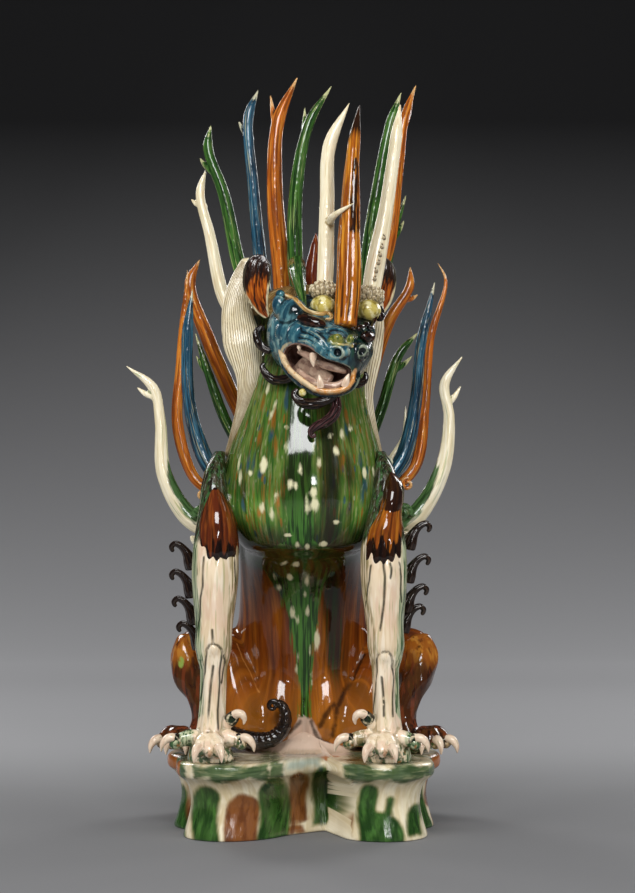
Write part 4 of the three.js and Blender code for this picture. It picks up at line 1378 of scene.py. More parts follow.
PLINTH = Coat("plinth_glaze", CREAM, (
    Runs("#cfbd94", 0.6, size=(9.0, 40.0), cover=0.4),
    Runs("#efe6cd", 0.6, size=(7.0, 30.0), cover=0.35, seed=3.0),
    Runs("#b59a6a", 0.35, size=(30.0, 40.0), cover=0.4, seed=8.0),
    Layer("#dcc0ac", 0.9, within="mound", edge=8.0, wander=6.0, stray=(16.0, 16.0)),
    Runs(LEAF, 0.8, within="green_top", size=(14.0, 11.0), cover=0.42, seed=2.0, edge=6.0, soft=0.1),
    Layer("#b9a548", 0.6, within="green_patch", edge=4.0, wander=1.0, stray=(12.0, 24.0)),
    Layer("#a3793c", 0.7, within="amber_patch", edge=3.0, wander=1.0, stray=(12.0, 24.0), seed=6.0),
    Layer("#7a4418", 0.95, within="amber_patch", edge=3.4, wander=1.2, stray=(12.0, 24.0), seed=6.0),
    Runs("#54290f", 0.7, within="amber_patch", size=(8.0, 20.0), cover=0.4, seed=4.0, soft=0.12),
    Layer("#27521c", 0.97, within="green_patch", edge=3.2, wander=1.2, stray=(12.0, 24.0)),
    Runs("#12300e", 0.8, within="green_patch", size=(9.0, 30.0), cover=0.5, seed=9.0, soft=0.14, edge=4.0),
    Runs("#4c7a34", 0.5, within="green_patch", size=(6.0, 16.0), cover=0.2, seed=1.0, soft=0.12, edge=4.0),
    Layer("#234f1f", 0.9, within="green_rim", edge=3.0, wander=2.6, stray=(18.0, 6.0)),
    Runs("#12300f", 0.6, within="green_rim", size=(34.0, 5.0), cover=0.4, seed=4.0, soft=0.14),
    Runs("#b9b98a", 0.5, within="green_rim", size=(26.0, 5.0), cover=0.14, seed=14.0, soft=0.14),
    Layer(AMBER, 0.85, within="amber_rim", edge=3.0, wander=2.5, stray=(10.0, 8.0)),
    Layer("#5d949a", 0.55, within="blue_rim", edge=7.0, wander=2.5, stray=(14.0, 6.0)),
    Pool("#7d6a3c", 0.35),
), Slot.PLINTH, gloss=0.14, dull=0.3)


@dataclass
class Torso:
    """The trunk, the swelling chest and the upper arms in one skin."""

    trunk: Path = (
        (0, 0, 70, 76, 78), (60, 0, 68, 84, 88), (120, 0, 58, 84, 92), (180, 0, 44, 80, 84),
        (240, 0, 24, 80, 70), (300, 0, 12, 84, 64), (360, 0, 4, 84, 60), (420, 2, 2, 78, 56),
        (480, 4, 0, 76, 52), (530, 4, 0, 76, 45), (550, 7, -2, 66, 38), (563, 9, -4, 46, 27),
        (568, 9, -5, 24, 14),
    )
    chest: Path = (
        (238, 0, -58, 52, 38), (248, 0, -60, 74, 60), (282, 0, -61, 92, 78), (317, 0, -60, 96, 83),
        (353, 0, -57, 94, 80), (389, 2, -52, 86, 73), (425, 4, -48, 77, 64), (460, 8, -46, 68, 56),
        (490, 10, -44, 58, 46),
    )
    # The soft turn from the belly to the chest's underside, as wide as the trunk.
    fairing: Path = (
        (150, 0, 49, 78, 84), (170, 0, 46, 79, 86), (185, 0, 42, 78, 88), (200, 0, 37, 77, 91),
        (212, 0, 30, 75, 95), (222, 0, 22, 73, 98), (231, 0, 11, 72, 99), (239, 0, -2, 72, 97),
        (247, 0, -14, 74, 98), (256, 0, -20, 76, 98),
    )
    # The swellings low on the belly, and the inner thighs in front of them, on the right side.
    bulge: Path = ((4, 28, -10, 30, 35), (36, 28, -10, 31, 36), (78, 27, 2, 29, 33), (112, 25, 14, 23, 25),
                   (130, 24, 22, 14, 15))
    inner: Path = ((3, 70, -5, 34, 39), (36, 72, -7, 35, 41), (70, 84, -1, 32, 39), (105, 92, 8, 26, 33),
                   (134, 100, 18, 18, 24), (146, 103, 24, 8, 10))
    # Drops as the photograph shows them: column, row, half width and half length in its pixels.
    cream_drops: Path = (
        (268, 388, 2.6, 6), (275, 405, 1.8, 5), (271, 416, 1.5, 4), (263.7, 465, 3.6, 9), (240, 478, 2, 7),
        (287, 427, 2.4, 2.4), (331, 436, 2.8, 3), (336.5, 451, 2.6, 5), (342, 434, 2, 4.6),
        (350, 428, 2.4, 3.6), (364.5, 473, 2.8, 5.4), (373.5, 472, 2, 5.4), (382.5, 481, 1.6, 5.4),
        (314, 492, 3.2, 5.6), (315, 504, 3, 8), (307, 506, 1.8, 8), (262, 507, 2.2, 5.4), (272, 514, 2.2, 6),
        (290, 485, 2.2, 5), (296, 486, 1.8, 3.4), (300, 469, 1.6, 4.6), (239, 463, 1.7, 7),
        (297.5, 545, 2.4, 3), (307, 546.5, 2.4, 3), (323.5, 544, 4, 3), (288, 535, 4, 2), (276, 496, 1.5, 5),
        (250, 473, 2.4, 3), (286, 446, 1.3, 4), (319, 462, 1.8, 4.5), (336, 522, 3.4, 2.5),
        (284, 563, 3, 2.5), (296, 564, 3, 3), (290, 577, 3.4, 3.6), (279, 587, 2.6, 3.6), (307, 580, 1.8, 5),
        (305, 594, 1.6, 3), (292.5, 612, 3.2, 6.2), (297.5, 620, 1.7, 4.4), (307.5, 611, 2.6, 5),
        (317, 640, 3.8, 11), (309.8, 650, 1.3, 4), (298, 656, 1.5, 5), (296, 669, 1.8, 4.4),
        (311.5, 674, 1.3, 3.4), (312, 683, 1.2, 2.4), (275, 577, 1.6, 3),
    )
    amber_drops: Path = (
        (273.5, 418, 2.8, 12), (305.8, 472, 2.6, 17), (259.5, 437, 2.3, 9), (276, 447.5, 1.8, 8),
        (320, 466, 1.5, 9), (259, 513, 2.2, 5), (346.5, 415, 2.4, 9), (337, 447, 1.6, 9), (354, 420, 2, 5),
        (263, 402, 2.4, 9), (343, 458, 1.5, 8), (308, 500, 1.8, 5), (278, 504, 1.2, 12), (367, 436, 1.4, 8),
        (391, 492, 1.6, 6),
    )
    blue_drops: Path = (
        (271, 435, 2.6, 7), (248.5, 463, 2, 9), (253.5, 463, 1.6, 8), (260, 474, 2.6, 5),
        (296.5, 496, 2.2, 13), (332, 481, 2.8, 12), (365, 484, 2.8, 8), (288, 397, 4.6, 15), (360, 460, 2, 6),
        (295, 464, 1.8, 6), (243, 505, 1.8, 7), (362, 495, 2, 9), (346, 430, 1.6, 6),
    )
    pale_drops: Path = ((335, 459, 2.8, 9), (300, 466, 1.6, 5), (331, 498, 2, 8), (294, 498, 1.2, 6))
    brown_drops: Path = ((349, 470, 4.2, 22), (349, 435, 2.6, 14), (243, 492, 3, 16), (285, 478, 2.6, 16),
                         (324, 500, 2, 15), (284, 498, 2, 12), (349, 508, 3.4, 14))

    flow_radius: float = 96.0

    def axis(self, z: np.ndarray) -> np.ndarray:
        """The depth of the axis round which the glaze ran, at carving heights."""
        return 52 - 67 * step(224, 240, z)

    def flow(self, points: np.ndarray) -> np.ndarray:
        """Pattern coordinates: round the body at a fixed radius, and down it."""
        x, y, z = points.T
        z = z - PLINTH_TOP
        turn = np.arctan2(x, -(y - self.axis(z)))
        return np.stack([self.flow_radius * np.sin(turn), -self.flow_radius * np.cos(turn), z], axis=-1)

    def dabs(self, points: np.ndarray, tree: BVHTree, spots: Path) -> np.ndarray:
        """How far inside the nearest of some drops each point lies, in millimetres.

        Args:
            points: The skin's points.
            tree: Its search tree.
            spots: The drops, in the photograph's pixels.

        Returns:
            The distances.
        """
        here = self.flow(points)
        best = np.full(len(points), -30.0)
        for px, py, wide, tall in spots:
            place = raised(np.asarray(seen_on(tree, px, py)))[None]
            centre = self.flow(place)[0]
            gap = here - centre
            round_it = np.hypot(gap[:, 0], gap[:, 1]) / wide
            # A drop is rounder below, where it came to rest, than above, where it ran from.
            down = gap[:, 2] / (tall * 1.1)
            taper = 1 + 0.2 * np.clip(down, 0, 1)
            best = np.maximum(best, (1 - np.hypot(round_it * taper, down)) * wide)
        return best

    def build(self) -> BVHTree:
        """Makes the torso.

        Returns:
            Its search tree.
        """
        parts = [column(self.trunk), column(self.chest, steps=160)]
        arm = ((101, -98, 280), (88, -62, 312), (56, -6, 336))
        parts += [sweep(on_side(s, arm), [20, 33, 44], sides=40, blunt=(16, 0)) for s in (LEFT, RIGHT)]
        parts.append(column(self.fairing))
        for s in (LEFT, RIGHT):
            for form in (self.bulge, self.inner):
                parts.append(column([(z, s * x, y, w, d) for z, x, y, w, d in form]))
            thigh = on_side(s, ((62, 84, 74), (98, 46, 96), (128, 6, 116), (138, -20, 118)))
            parts.append(sweep(thigh, [58, 52, 38, 24], sides=64, steps=80, blunt=(20, 14)))
        skin = fuse(parts, *TORSO_SKIN)
        soft = skin.smoothed(26, hold=0.0).points
        low = step(172, 140, skin.points[:, 2] - PLINTH_TOP) * step(40, 10, skin.points[:, 1])
        skin.points = skin.points + (soft - skin.points) * low[:, None]
        tree = skin.tree()
        skin.fields["flow"] = self.flow(skin.points)
        for name in ("cream", "amber", "blue", "pale", "brown"):
            skin.fields[name + "_drop"] = self.dabs(skin.points, tree, getattr(self, name + "_drops"))
        folds = {"gold_fold": (1.2, [[(237, 644), (243, 660), (251, 674), (259, 692)]]),
                 "dark_fold": (3.0, [[(364, 655), (356, 673), (345, 690), (337, 708), (332, 736)],
                                     [(334, 704), (326, 714), (320, 726)],
                                     [(300, 722), (288, 733), (272, 742)],
                                     [(311, 722), (318, 738), (328, 744)]])}
        for name, (reach, lines) in folds.items():
            paths = [[seen_on(tree, *spot) for spot in line] for line in lines]
            skin.fields[name] = reach - np.min([near_line(skin.points, path) for path in paths], axis=0)
        x, y, z = skin.points.T
        z = z - PLINTH_TOP
        front = step(34, 8, y)
        rear = 40 * (1 - front)
        hem = 226 - 34 * np.exp(-((x / 34) ** 2)) + 4 * np.sin(0.13 * x)
        behind = np.clip(y - 5, 0, None)
        under = np.minimum(hem - z, 0.8 * (62 - y) + 5 * np.sin(0.07 * z + 1))
        skin.fields["belly"] = np.maximum(under, np.abs(x) - 74 - 0.4 * z)
        heights = [0, 41, 65, 95, 125, 161, 185, 205, 222, 240]
        left = np.interp(z, heights, [-5, -5, -4, -8, -13, -18, -25, -37, -50, -78])
        right = np.interp(z, heights, [7, 7, 6, 8, 11, 17, 19, 24, 40, 70])
        top = 60 * step(232, 262, z)
        skin.fields["stripe"] = np.minimum(x - left, right - x) * front - rear - top
        skin.fields["shade"] = np.where(z > 190, 290 - z - 0.1 * np.abs(x), -60) - 3 * behind
        skin.fields["right_green"] = 11 - np.abs(x - 37 - 0.03 * (150 - z)) - 22 * step(118, 40, z) - rear
        aside = np.maximum(left - x, x - right)
        # Painted shade: the belly darkens under the chest's overhang and out towards the sides.
        skin.fields["dusk"] = z - 196 + 0.5 * np.clip(aside, 0, 40) - 99 * step(246, 262, z) - 2 * behind
        slip = 9 + 0.5 * (40 - z) + 3 * np.clip(14 - z, 0, 9) - np.abs(x - 1)
        skin.fields["slip"] = np.minimum(slip, 41 - z) - rear
        skin.fields["neck"] = z - 462
        skin.fields["crown"] = z - 530
        # Painted light: a lighter amber low on the belly and thighs, fading upwards.
        skin.fields["glow"] = 62 - z - behind
        put("body_torso", skin, SANCAI, ["beast"])
        return tree


SANCAI = Coat("sancai_body_glaze", "#74ac42", (
    Runs("#aecb62", 0.85, size=(3.4, 34.0), cover=0.42, soft=0.1),
    Runs("#dde2a0", 0.7, size=(2.8, 16.0), cover=0.18, seed=31.0, soft=0.1),
    Runs("#37802a", 0.85, size=(3.8, 46.0), cover=0.38, seed=9.0, soft=0.1),
    Runs("#c4872f", 0.7, size=(1.8, 34.0), cover=0.2, seed=4.0),
    Runs("#3a2810", 0.6, size=(1.6, 60.0), cover=0.08, seed=17.0),
    Drops("#cf8a2e", 0.8, size=(5.4, 26.0), cover=0.24, girth=0.27, seed=3.0),
    Drops("#417a8c", 0.8, size=(6.0, 24.0), cover=0.24, girth=0.25, seed=8.0),
    Drops("#d4dcae", 0.75, size=(5.6, 18.0), cover=0.4, girth=0.22, seed=5.0),
    Layer("#23160b", 0.8, within="brown_drop", edge=3.0, wander=0.7),
    Layer("#35708e", 0.85, within="blue_drop", edge=1.7, wander=0.9, stray=(3.0, 12.0)),
    Layer("#d8862a", 0.9, within="amber_drop", edge=1.7, wander=0.9, stray=(3.0, 12.0)),
    Layer("#bcd0c6", 0.75, within="pale_drop", edge=1.9, wander=0.8),
    Layer("#141a0a", 0.9, within="shade", edge=26.0, wander=5.0, stray=(4.0, 40.0)),
    Runs(DEEP_GREEN, 0.9, within="neck", size=(9.0, 12.0), cover=0.6, edge=12.0),
    Layer("#823f12", 1.0, within="belly", edge=4.0, wander=3.0),
    Runs("#a8611c", 0.85, within="belly", size=(13.0, 110.0), cover=0.45, soft=0.14, seed=22.0, edge=5.0),
    Runs("#431b0b", 0.8, within="belly", size=(11.0, 130.0), cover=0.42, soft=0.14, seed=25.0, edge=5.0),
    Runs("#5d2c10", 0.5, within="belly", size=(2.4, 60.0), cover=0.4, seed=35.0, edge=5.0),
    Layer("#1f130b", 0.9, within="right_green", edge=8.0, wander=4.0, stray=(3.0, 60.0)),
    Runs("#1d3a14", 0.8, within="right_green", size=(4.0, 60.0), cover=0.4, seed=41.0, edge=7.0),
    # Painted light: a lighter amber low on the belly and thighs.
    Layer("#c07a26", 0.45, within="glow", edge=60.0, wander=12.0, stray=(12.0, 60.0)),
    Layer("#44782c", 0.97, within="stripe", edge=2.2, wander=4.0, stray=(3.0, 24.0)),
    Runs("#122a0d", 0.85, within="stripe", size=(3.0, 50.0), cover=0.45, seed=2.0),
    Runs("#4c8030", 0.7, within="stripe", size=(2.2, 40.0), cover=0.2, seed=12.0),
    # Painted shade under the chest, on the belly's top.
    Layer("#17120a", 0.7, within="dusk", edge=30.0, wander=7.0, stray=(9.0, 50.0)),
    Layer("#dcc0ac", 0.95, within="slip", edge=2.0, wander=1.6, stray=(6.0, 14.0)),
    Layer("#1d0d07", 0.8, within="dark_fold", edge=2.2, wander=1.0, stray=(6.0, 6.0)),
    Layer("#c98a48", 0.8, within="gold_fold", edge=0.9, wander=0.3),
    Layer("#e2dcb4", 0.9, within="cream_drop", edge=1.4, wander=0.9, stray=(3.0, 10.0)),
    Layer("#7a5a30", 0.9, within="crown", edge=5.0, wander=4.0),
    Runs("#c2a46c", 0.8, within="crown", size=(5.0, 7.0), cover=0.35, seed=51.0, edge=3.0),
    Runs("#33200f", 0.8, within="crown", size=(5.0, 6.0), cover=0.25, seed=52.0, edge=3.0),
    Pool("#1d1208", 0.45, low=-0.3, full=-1.3),
), gloss=0.06, dull=0.12, ripple=0.1, swell=(14.0, 34.0))


@dataclass
class Hindleg:
    """The raised knee, the shank and the paw of one hind leg; its thigh is part of the torso."""

    side: int
    turns: Sequence[float] = (-8, 22, 54)

    def build(self) -> None:
        """Makes the leg and its claws."""
        s = self.side
        lumps = lambda a, t: 1 + 0.05 * np.sin(3 * a + 11 * t) + 0.035 * np.sin(5 * a - 19 * t)
        toes = [Toe(s * 146, -56, s * turn, 28) for turn in self.turns]
        shank = on_side(s, ((135, -8, 138), (142, -20, 116), (139, -30, 92), (128, -38, 66), (122, -42, 38),
                            (128, -48, 16)))
        parts = [
            sweep(shank, [17, 20, 18.5, 14, 13, 15], sides=56, steps=110, profile=lumps, blunt=(12, 6)),
            boss((s * 134, -50, 14), (20, 20, 15)), *[toe.knuckle() for toe in toes],
        ]
        skin = fuse(parts, *HINDLEG_SKIN)
        skin.fields["flow"] = skin.points.copy()
        z = skin.points[:, 2] - PLINTH_TOP
        tree = skin.tree()
        name = side_name(s)
        skin.fields["shin"] = 112 - z - 0.3 * np.abs(skin.points[:, 0] - s * 130)
        skin.fields["paw"] = 21 - z
        eye = raised(np.asarray(seen_on(tree, 181, 662)))
        away = np.linalg.norm((skin.points - eye) * [1, 0.5, 0.62], axis=1)
        skin.fields["spot"] = 1.6 - np.abs(away - 2.6) if s == LEFT else np.full_like(z, -20.0)
        put("hindleg_" + name, skin, HAUNCH)
        Toe.claws("hindclaws_" + name, toes)


@dataclass
class Toe:
    """One toe with its claw, pointing so many degrees away from the front."""

    x: float
    y: float
    degrees: float
    reach: float
    lift: float = 0.0  # how far its claw hangs above the ground

    def along(self, distance: float, height: float) -> list[float]:
        """A place so far out along the toe."""
        turn = math.radians(self.degrees)
        return [self.x + distance * math.sin(turn), self.y - distance * math.cos(turn), height]

    def knuckle(self) -> Surface:
        """The toe's fleshy part."""
        r, up = self.reach, self.lift * 0.7
        return sweep([self.along(2, 22), self.along(r * 0.6, 25 + up * 0.5), self.along(r, 17 + up),
                      self.along(r + 4, 9 + up)], [10, 10.5, 8.6, 6], sides=28, steps=40, blunt=(6, 6))

    def claw(self) -> Surface:
        """The hooked claw."""
        r, up = self.reach, self.lift
        return sweep([self.along(r - 3, 14 + up), self.along(r + 4, 20 + up), self.along(r + 11, 19 + up),
                      self.along(r + 16.5, 12.5 + up), self.along(r + 18, 4 + up)], [4.4, 5.4, 4.8, 3.2, 0.6],
                     1.1, 20, 50, blunt=(2, 1))

    def cuff(self) -> Surface:
        """The dark rim of skin round the claw's root."""
        r, up = self.reach, self.lift
        lumps = lambda a, t: 1 + 0.1 * np.sin(3 * a + self.degrees) + 0.07 * np.sin(7 * a)
        root = [self.along(r - 4, 13 + up), self.along(r + 1.5, 18.6 + up), self.along(r + 4.5, 20 + up)]
        return sweep(root, [8.2, 7.8, 6.8], sides=32, steps=20, blunt=(4, 2.2), profile=lumps)

    @staticmethod
    def claws(name: str, toes: Sequence["Toe"]) -> None:
        """Makes the claws and their cuffs.

        Args:
            name: The piece's name.
            toes: The toes.
        """
        put(name, Surface.joined([toe.claw() for toe in toes]), CLAW)
        put(name + "_cuffs", Surface.joined([toe.cuff() for toe in toes]), CUFF)


HAUNCH = Coat("amber_haunch_glaze", "#9a571b", (
    Runs("#b97a2c", 0.85, size=(9.0, 18.0), cover=0.42),
    Runs("#4f230d", 0.85, size=(8.0, 24.0), cover=0.3, seed=6.0),
    Layer("#2c150c", 0.9, within="shin", edge=14.0, wander=7.0, stray=(12.0, 26.0), seed=3.0),
    Runs("#70351a", 0.8, within="shin", size=(7.0, 40.0), cover=0.36, seed=19.0, edge=8.0),
    Runs("#2c5a2c", 0.9, within="paw", size=(9.0, 7.0), cover=0.6, seed=2.0, edge=5.0),
    Runs("#d9c8a4", 0.85, within="paw", size=(7.0, 6.0), cover=0.25, seed=22.0, edge=5.0),
    Layer("#8fa84e", 0.95, within="spot", edge=0.9, wander=0.4, stray=(3.0, 3.0)),
    Pool("#1e0c06", 0.85),
    Worn("#cf9a58", 0.5, low=0.7, full=1.5),
), gloss=0.07, dull=0.13)
CLAW = Coat("claw_glaze", "#e3cdb4", (
    Runs("#c9a58c", 0.6, size=(4.0, 12.0), cover=0.4),
    Runs("#5d6a34", 0.5, size=(4.0, 14.0), cover=0.1, seed=5.0),
), Slot.CREAM, gloss=0.14, dull=0.25)
CUFF = Coat("cuff_glaze", "#17100c", (
    Runs(DEEP_GREEN, 0.8, size=(5.0, 8.0), cover=0.45),
    Runs(BONE, 0.8, size=(6.0, 9.0), cover=0.22, seed=7.0),
), gloss=0.1)


@dataclass
class Foreleg:
    """One foreleg: a straight cream column with an incised knee, tendons and spread toes."""

    side: int
    shift: float  # from the right-hand places below to this leg's own
    paw: float
    toes: Path  # degrees and reach of each toe with a claw
    drips: Path  # the photograph's pixels down each dark line
    arch: Path
    stations: Path = (
        (0, 107, -124, 27, 28), (6, 107, -124, 27, 29), (19, 107, -124, 23.5, 27), (34, 106, -123, 18, 22),
        (52, 105, -122, 16, 20), (77, 104, -121, 15.4, 19), (106, 103.5, -120, 15.6, 19.5),
        (122, 104, -119, 19.5, 22), (138, 104, -118, 22, 25), (150, 103.5, -118, 21.6, 25),
        (166, 103, -117, 22.4, 25), (189, 102.5, -116, 25, 27), (222, 102, -115, 27.5, 29),
        (248, 101.5, -113, 27, 28), (275, 102, -109, 23, 24), (300, 103, -103, 18.5, 22),
        (325, 104, -95, 15, 20), (348, 102, -84, 11, 18), (364, 98, -74, 6, 13),
    )

    def x(self, value: float) -> float:
        """A place across, for this leg."""
        return self.side * (value + self.shift)

    def tendons(self, angle: np.ndarray, z: np.ndarray) -> np.ndarray:
        """The tendons between the knee and the toes, and the soft hollows over the knee."""
        low = step(128, 104, z) * step(4, 22, z)
        high = step(146, 166, z) * step(262, 220, z)
        folds = 0.03 * np.cos(3 * angle + 0.7 + 0.012 * z) + 0.02 * np.cos(7 * angle - 0.02 * z)
        return 1 - 0.1 * low * np.abs(np.cos(3.5 * angle + 0.35)) ** 3 + 0.04 * low - high * folds

    def build(self) -> None:
        """Makes the leg with its claws and spur."""
        name = side_name(self.side)
        x = self.x
        leg = column([(z, x(place), y, w, d) for z, place, y, w, d in self.stations], 110, 220, self.tendons)
        toes = [Toe(self.paw, -128, turn, reach, 9.0 if abs(turn) > 40 else 0.0) for turn, reach in self.toes]
        middle = Toe(self.paw, -128, 0, 34).knuckle()
        root = [(x(96), -124, 36), (x(86), -130, 46), (x(79), -133, 52)]
        spur_root = sweep(root, [7, 7.5, 6], sides=24, steps=24, blunt=(3, 3))
        skin = fuse([leg, spur_root, middle, *[toe.knuckle() for toe in toes]], *FORELEG_SKIN)
        tree = skin.tree()
        knee = [seen_on(tree, *spot) for spot in self.arch]
        arch = near_line(skin.points, knee)
        groove = np.clip(1 - arch / 3.0, 0, 1)
        cap = near_spots(skin.points, [(seen_on(tree, *np.mean(self.arch, axis=0)), 9.0)])
        push = 1.8 * groove**2 - 1.6 * step(0, 8, cap)
        skin.points = skin.points - skin.normals() * push[:, None]
        skin.fields["flow"] = skin.points - np.array([x(104), -120, 0])
        lines = [[seen_on(tree, *spot) for spot in drip] for drip in self.drips]
        skin.fields["drip"] = 1.5 - np.min([near_line(skin.points, path) for path in [*lines, knee]], axis=0)
        _, y, z = skin.points.T
        z = z - PLINTH_TOP
        out = (skin.points[:, 0] - x(103)) * self.side
        skin.fields["paw"] = 17 - z + 0.25 * np.abs(skin.points[:, 0] - self.paw)
        foot = 12 * step(60, 40, z)
        skin.fields["green_edge"] = out - 19.5 + 5 * step(215, 160, z) - foot + 2.5 * step(140, 120, z)
        skin.fields["inner_edge"] = -out - 19 + 7 * step(200, 140, z) - foot
        skin.fields["hidden"] = y + 106
        skin.fields["upper"] = z - 262 + 0.35 * (y + 135)
        put("foreleg_" + name, skin, SHIN)
        Toe.claws("foreclaws_" + name, toes)
        hook = [(x(82), -132, 49), (x(76.5), -136, 56.5), (x(70), -138, 56), (x(67), -138, 50),
                (x(68), -138, 44)]
        spur = sweep(hook, [4.8, 5.4, 5, 3.4, 0.7], sides=20, steps=44, blunt=(2, 1))
        ring = [(x(86), -130, 46), (x(79.5), -133.5, 53), (x(77), -135, 55)]
        cuff = sweep(ring, [8.2, 8, 6.8], sides=24, steps=20, blunt=(3, 2))
        put("spur_" + name, spur, CLAW)
        put("spur_cuff_" + name, cuff, CUFF)


SHIN = Coat("cream_leg_glaze", "#e6d2b4", (
    Runs("#d4bb98", 0.6, size=(8.0, 60.0), cover=0.42),
    Runs("#f0e3cd", 0.7, size=(7.0, 50.0), cover=0.4, seed=2.0),
    Runs("#d9b39a", 0.45, size=(12.0, 40.0), cover=0.35, seed=15.0),
    Runs("#8b9352", 0.45, size=(2.4, 70.0), cover=0.1, seed=12.0),
    Runs("#6d6128", 0.8, within="inner_edge", size=(3.0, 46.0), cover=0.6, edge=3.0),
    Layer("#9fb08a", 0.75, within="green_edge", edge=2.4, wander=2.6, stray=(3.0, 30.0)),
    Runs("#27502a", 0.9, within="green_edge", size=(2.6, 60.0), cover=0.42, edge=1.0, seed=6.0),
    Runs("#1f4a26", 0.92, within="paw", size=(8.0, 8.0), cover=0.46, seed=4.0, edge=5.0, wander=4.0),
    Runs("#a8642a", 0.6, within="paw", size=(7.0, 8.0), cover=0.14, seed=14.0, edge=6.0),
    Runs("#2a2a10", 0.85, within="hidden", size=(8.0, 60.0), cover=0.6, edge=6.0),
    Layer("#2b2a14", 0.97, within="upper", edge=7.0, wander=3.0, stray=(4.0, 30.0)),
    Runs("#335a30", 0.85, within="upper", size=(4.0, 60.0), cover=0.4, edge=6.0, seed=9.0),
    Runs("#120c08", 0.85, within="upper", size=(5.0, 60.0), cover=0.36, edge=6.0, seed=29.0),
    Runs("#8aa090", 0.5, within="upper", size=(1.8, 60.0), cover=0.1, edge=6.0, seed=19.0),
    Pool("#6e6132", 0.5, low=-0.2, full=-0.9),
    Layer("#161b0c", 0.92, within="drip", edge=1.1, wander=0.25, stray=(3.0, 12.0)),
), Slot.BEAST, gloss=0.08, dull=0.18, ripple=0.12, swell=(9.0, 26.0))

FORELEGS = (
    Foreleg(LEFT, 2.0, -109.0, [(-75, 41), (-19, 34), (17, 33), (70, 37)], [
        [(204, 557), (202.8, 586), (200.5, 597), (200, 617), (197.2, 630), (196, 638)],
        [(234.4, 560), (235, 577), (236, 591), (237.8, 599)], [(240.5, 561), (242, 569), (241.6, 577)],
        [(206.7, 652), (205.5, 662), (205, 672), (203.3, 683), (200.5, 699), (197.2, 710), (193.3, 725),
         (189, 741)],
        [(213.3, 666), (211, 683), (210, 694), (208.7, 710), (207.5, 733)],
        [(222, 655), (219.6, 672), (219.8, 683), (218.7, 699), (217.8, 710), (218.3, 728), (221, 736)],
        [(224, 655), (225, 662), (223, 672), (221.5, 683)], [(212.2, 630), (212.8, 641)],
    ], [(206, 654), (206.5, 650), (209.5, 645), (213, 643.5), (218, 645.5), (222, 650), (223.5, 658)]),
    Foreleg(RIGHT, -7.0, 92.0, [(-75, 39), (-24, 34), (17, 33), (68, 40)], [
        [(371, 565), (369.4, 579), (367.2, 594), (365.5, 607)],
        [(383.3, 563), (385, 577), (384.4, 592), (383.9, 603), (381.7, 619), (380, 630)],
        [(390, 563), (391.7, 569), (390.5, 578)], [(399.4, 562), (401, 577), (400.5, 592), (401.7, 602)],
        [(376.7, 658), (377, 672), (376, 683), (374.4, 699), (373.3, 710), (372.2, 717)],
        [(381.7, 677), (382.8, 688), (383.9, 705), (383.9, 716)],
        [(391.7, 666), (393.9, 677), (392.8, 694), (392.8, 716)],
    ], [(376.7, 658), (377.8, 655), (382.8, 652), (388, 651.7), (391, 655), (393, 661), (392.2, 668)]),
)


@dataclass
class Sleeve:
    """The fur round the top of a foreleg: a dome with a ragged hem, drawn out to a point above."""

    side: int
    coat: Coat
    stations: Path
    tongues: float  # how high the black tongues reach
    crown: float  # where the part above the dome begins

    def build(self) -> None:
        """Makes the sleeve."""
        flutes = lambda a, z: 1 + 0.04 * np.cos(13 * a + 1.4 * np.sin(3 * a)) * step(272, 246, z)
        skin = column(self.stations, sides=110, steps=110, profile=flutes)
        px, py, pz = skin.points.T
        turn = np.arctan2(px - self.stations[0][1], -(py + 112))
        z = pz - PLINTH_TOP
        hem = 2.4 * np.abs(np.sin(6.5 * turn + 0.5 * np.sin(3 * turn))) + 1.6 * np.sin(2.3 * turn + self.side)
        skin.points[:, 2] += (hem - 2) * step(254, 240, z)
        wave = np.cos(9 * turn + 1.8 * np.sin(4 * turn + self.side)) + 0.5 * np.cos(17 * turn)
        skin.fields["tongue"] = self.tongues - z + 9 * wave
        skin.fields["upper"] = 9.5 - np.abs(px - self.stations[-3][1]) + 0.2 * (z - self.crown) - 30 * step(
            self.crown + 4, self.crown - 6, z)
        put("sleeve_" + side_name(self.side), skin, self.coat)


def sleeve_coat(name: str, base: str, light: str, dark: str) -> Coat:
    """The glaze of one sleeve, with black tongues up from its hem."""
    return Coat(name, base, (
        Runs(light, 0.8, size=(5.0, 40.0), cover=0.4, soft=0.12),
        Runs(dark, 0.85, size=(5.0, 46.0), cover=0.36, soft=0.12, seed=8.0),
        Layer(BLACK_BROWN, 0.92, within="upper", edge=3.0, wander=3.0, stray=(3.0, 16.0)),
        Layer(BLACK_BROWN, 0.95, within="tongue", edge=2.0, wander=3.0, stray=(2.0, 20.0)),
        Pool("#0d0706", 0.85, low=-0.1, full=-0.6),
    ), Slot.RED_BROWN, gloss=0.05, dull=0.1, ripple=0.1)


SLEEVES = (
    Sleeve(LEFT, sleeve_coat("red_sleeve_glaze", "#57240f", "#8f4a1a", "#260e08"),
           [(238, -101, -112, 20, 27), (239.5, -101, -112, 23, 31), (247, -101, -112, 24.5, 33),
            (262, -101, -111.5, 24, 33), (278, -101.5, -110, 22.5, 31.5), (292, -102, -107, 19.5, 29),
            (304, -103, -103, 15.5, 26), (315, -104, -99, 11, 23), (325, -105, -94, 6.5, 19),
            (333, -106, -90, 2, 12)], 252.0, 318.0),
    Sleeve(RIGHT, sleeve_coat("amber_sleeve_glaze", "#7f4012", "#b9711f", "#35130a"),
           [(231, 94, -112, 19, 26), (232.5, 94, -112, 22.5, 31), (240, 94, -112, 24, 33.5),
            (256, 94.5, -111.5, 23.5, 33), (272, 96, -110, 21.5, 31), (285, 98.5, -108, 18, 28.5),
            (295, 101, -107, 15.5, 27), (305, 103.5, -105, 15, 27.5), (317, 105, -101, 14.5, 27),
            (328, 104.5, -96, 12, 23), (340, 102, -90, 4, 14)], 258.0, 292.0),
)
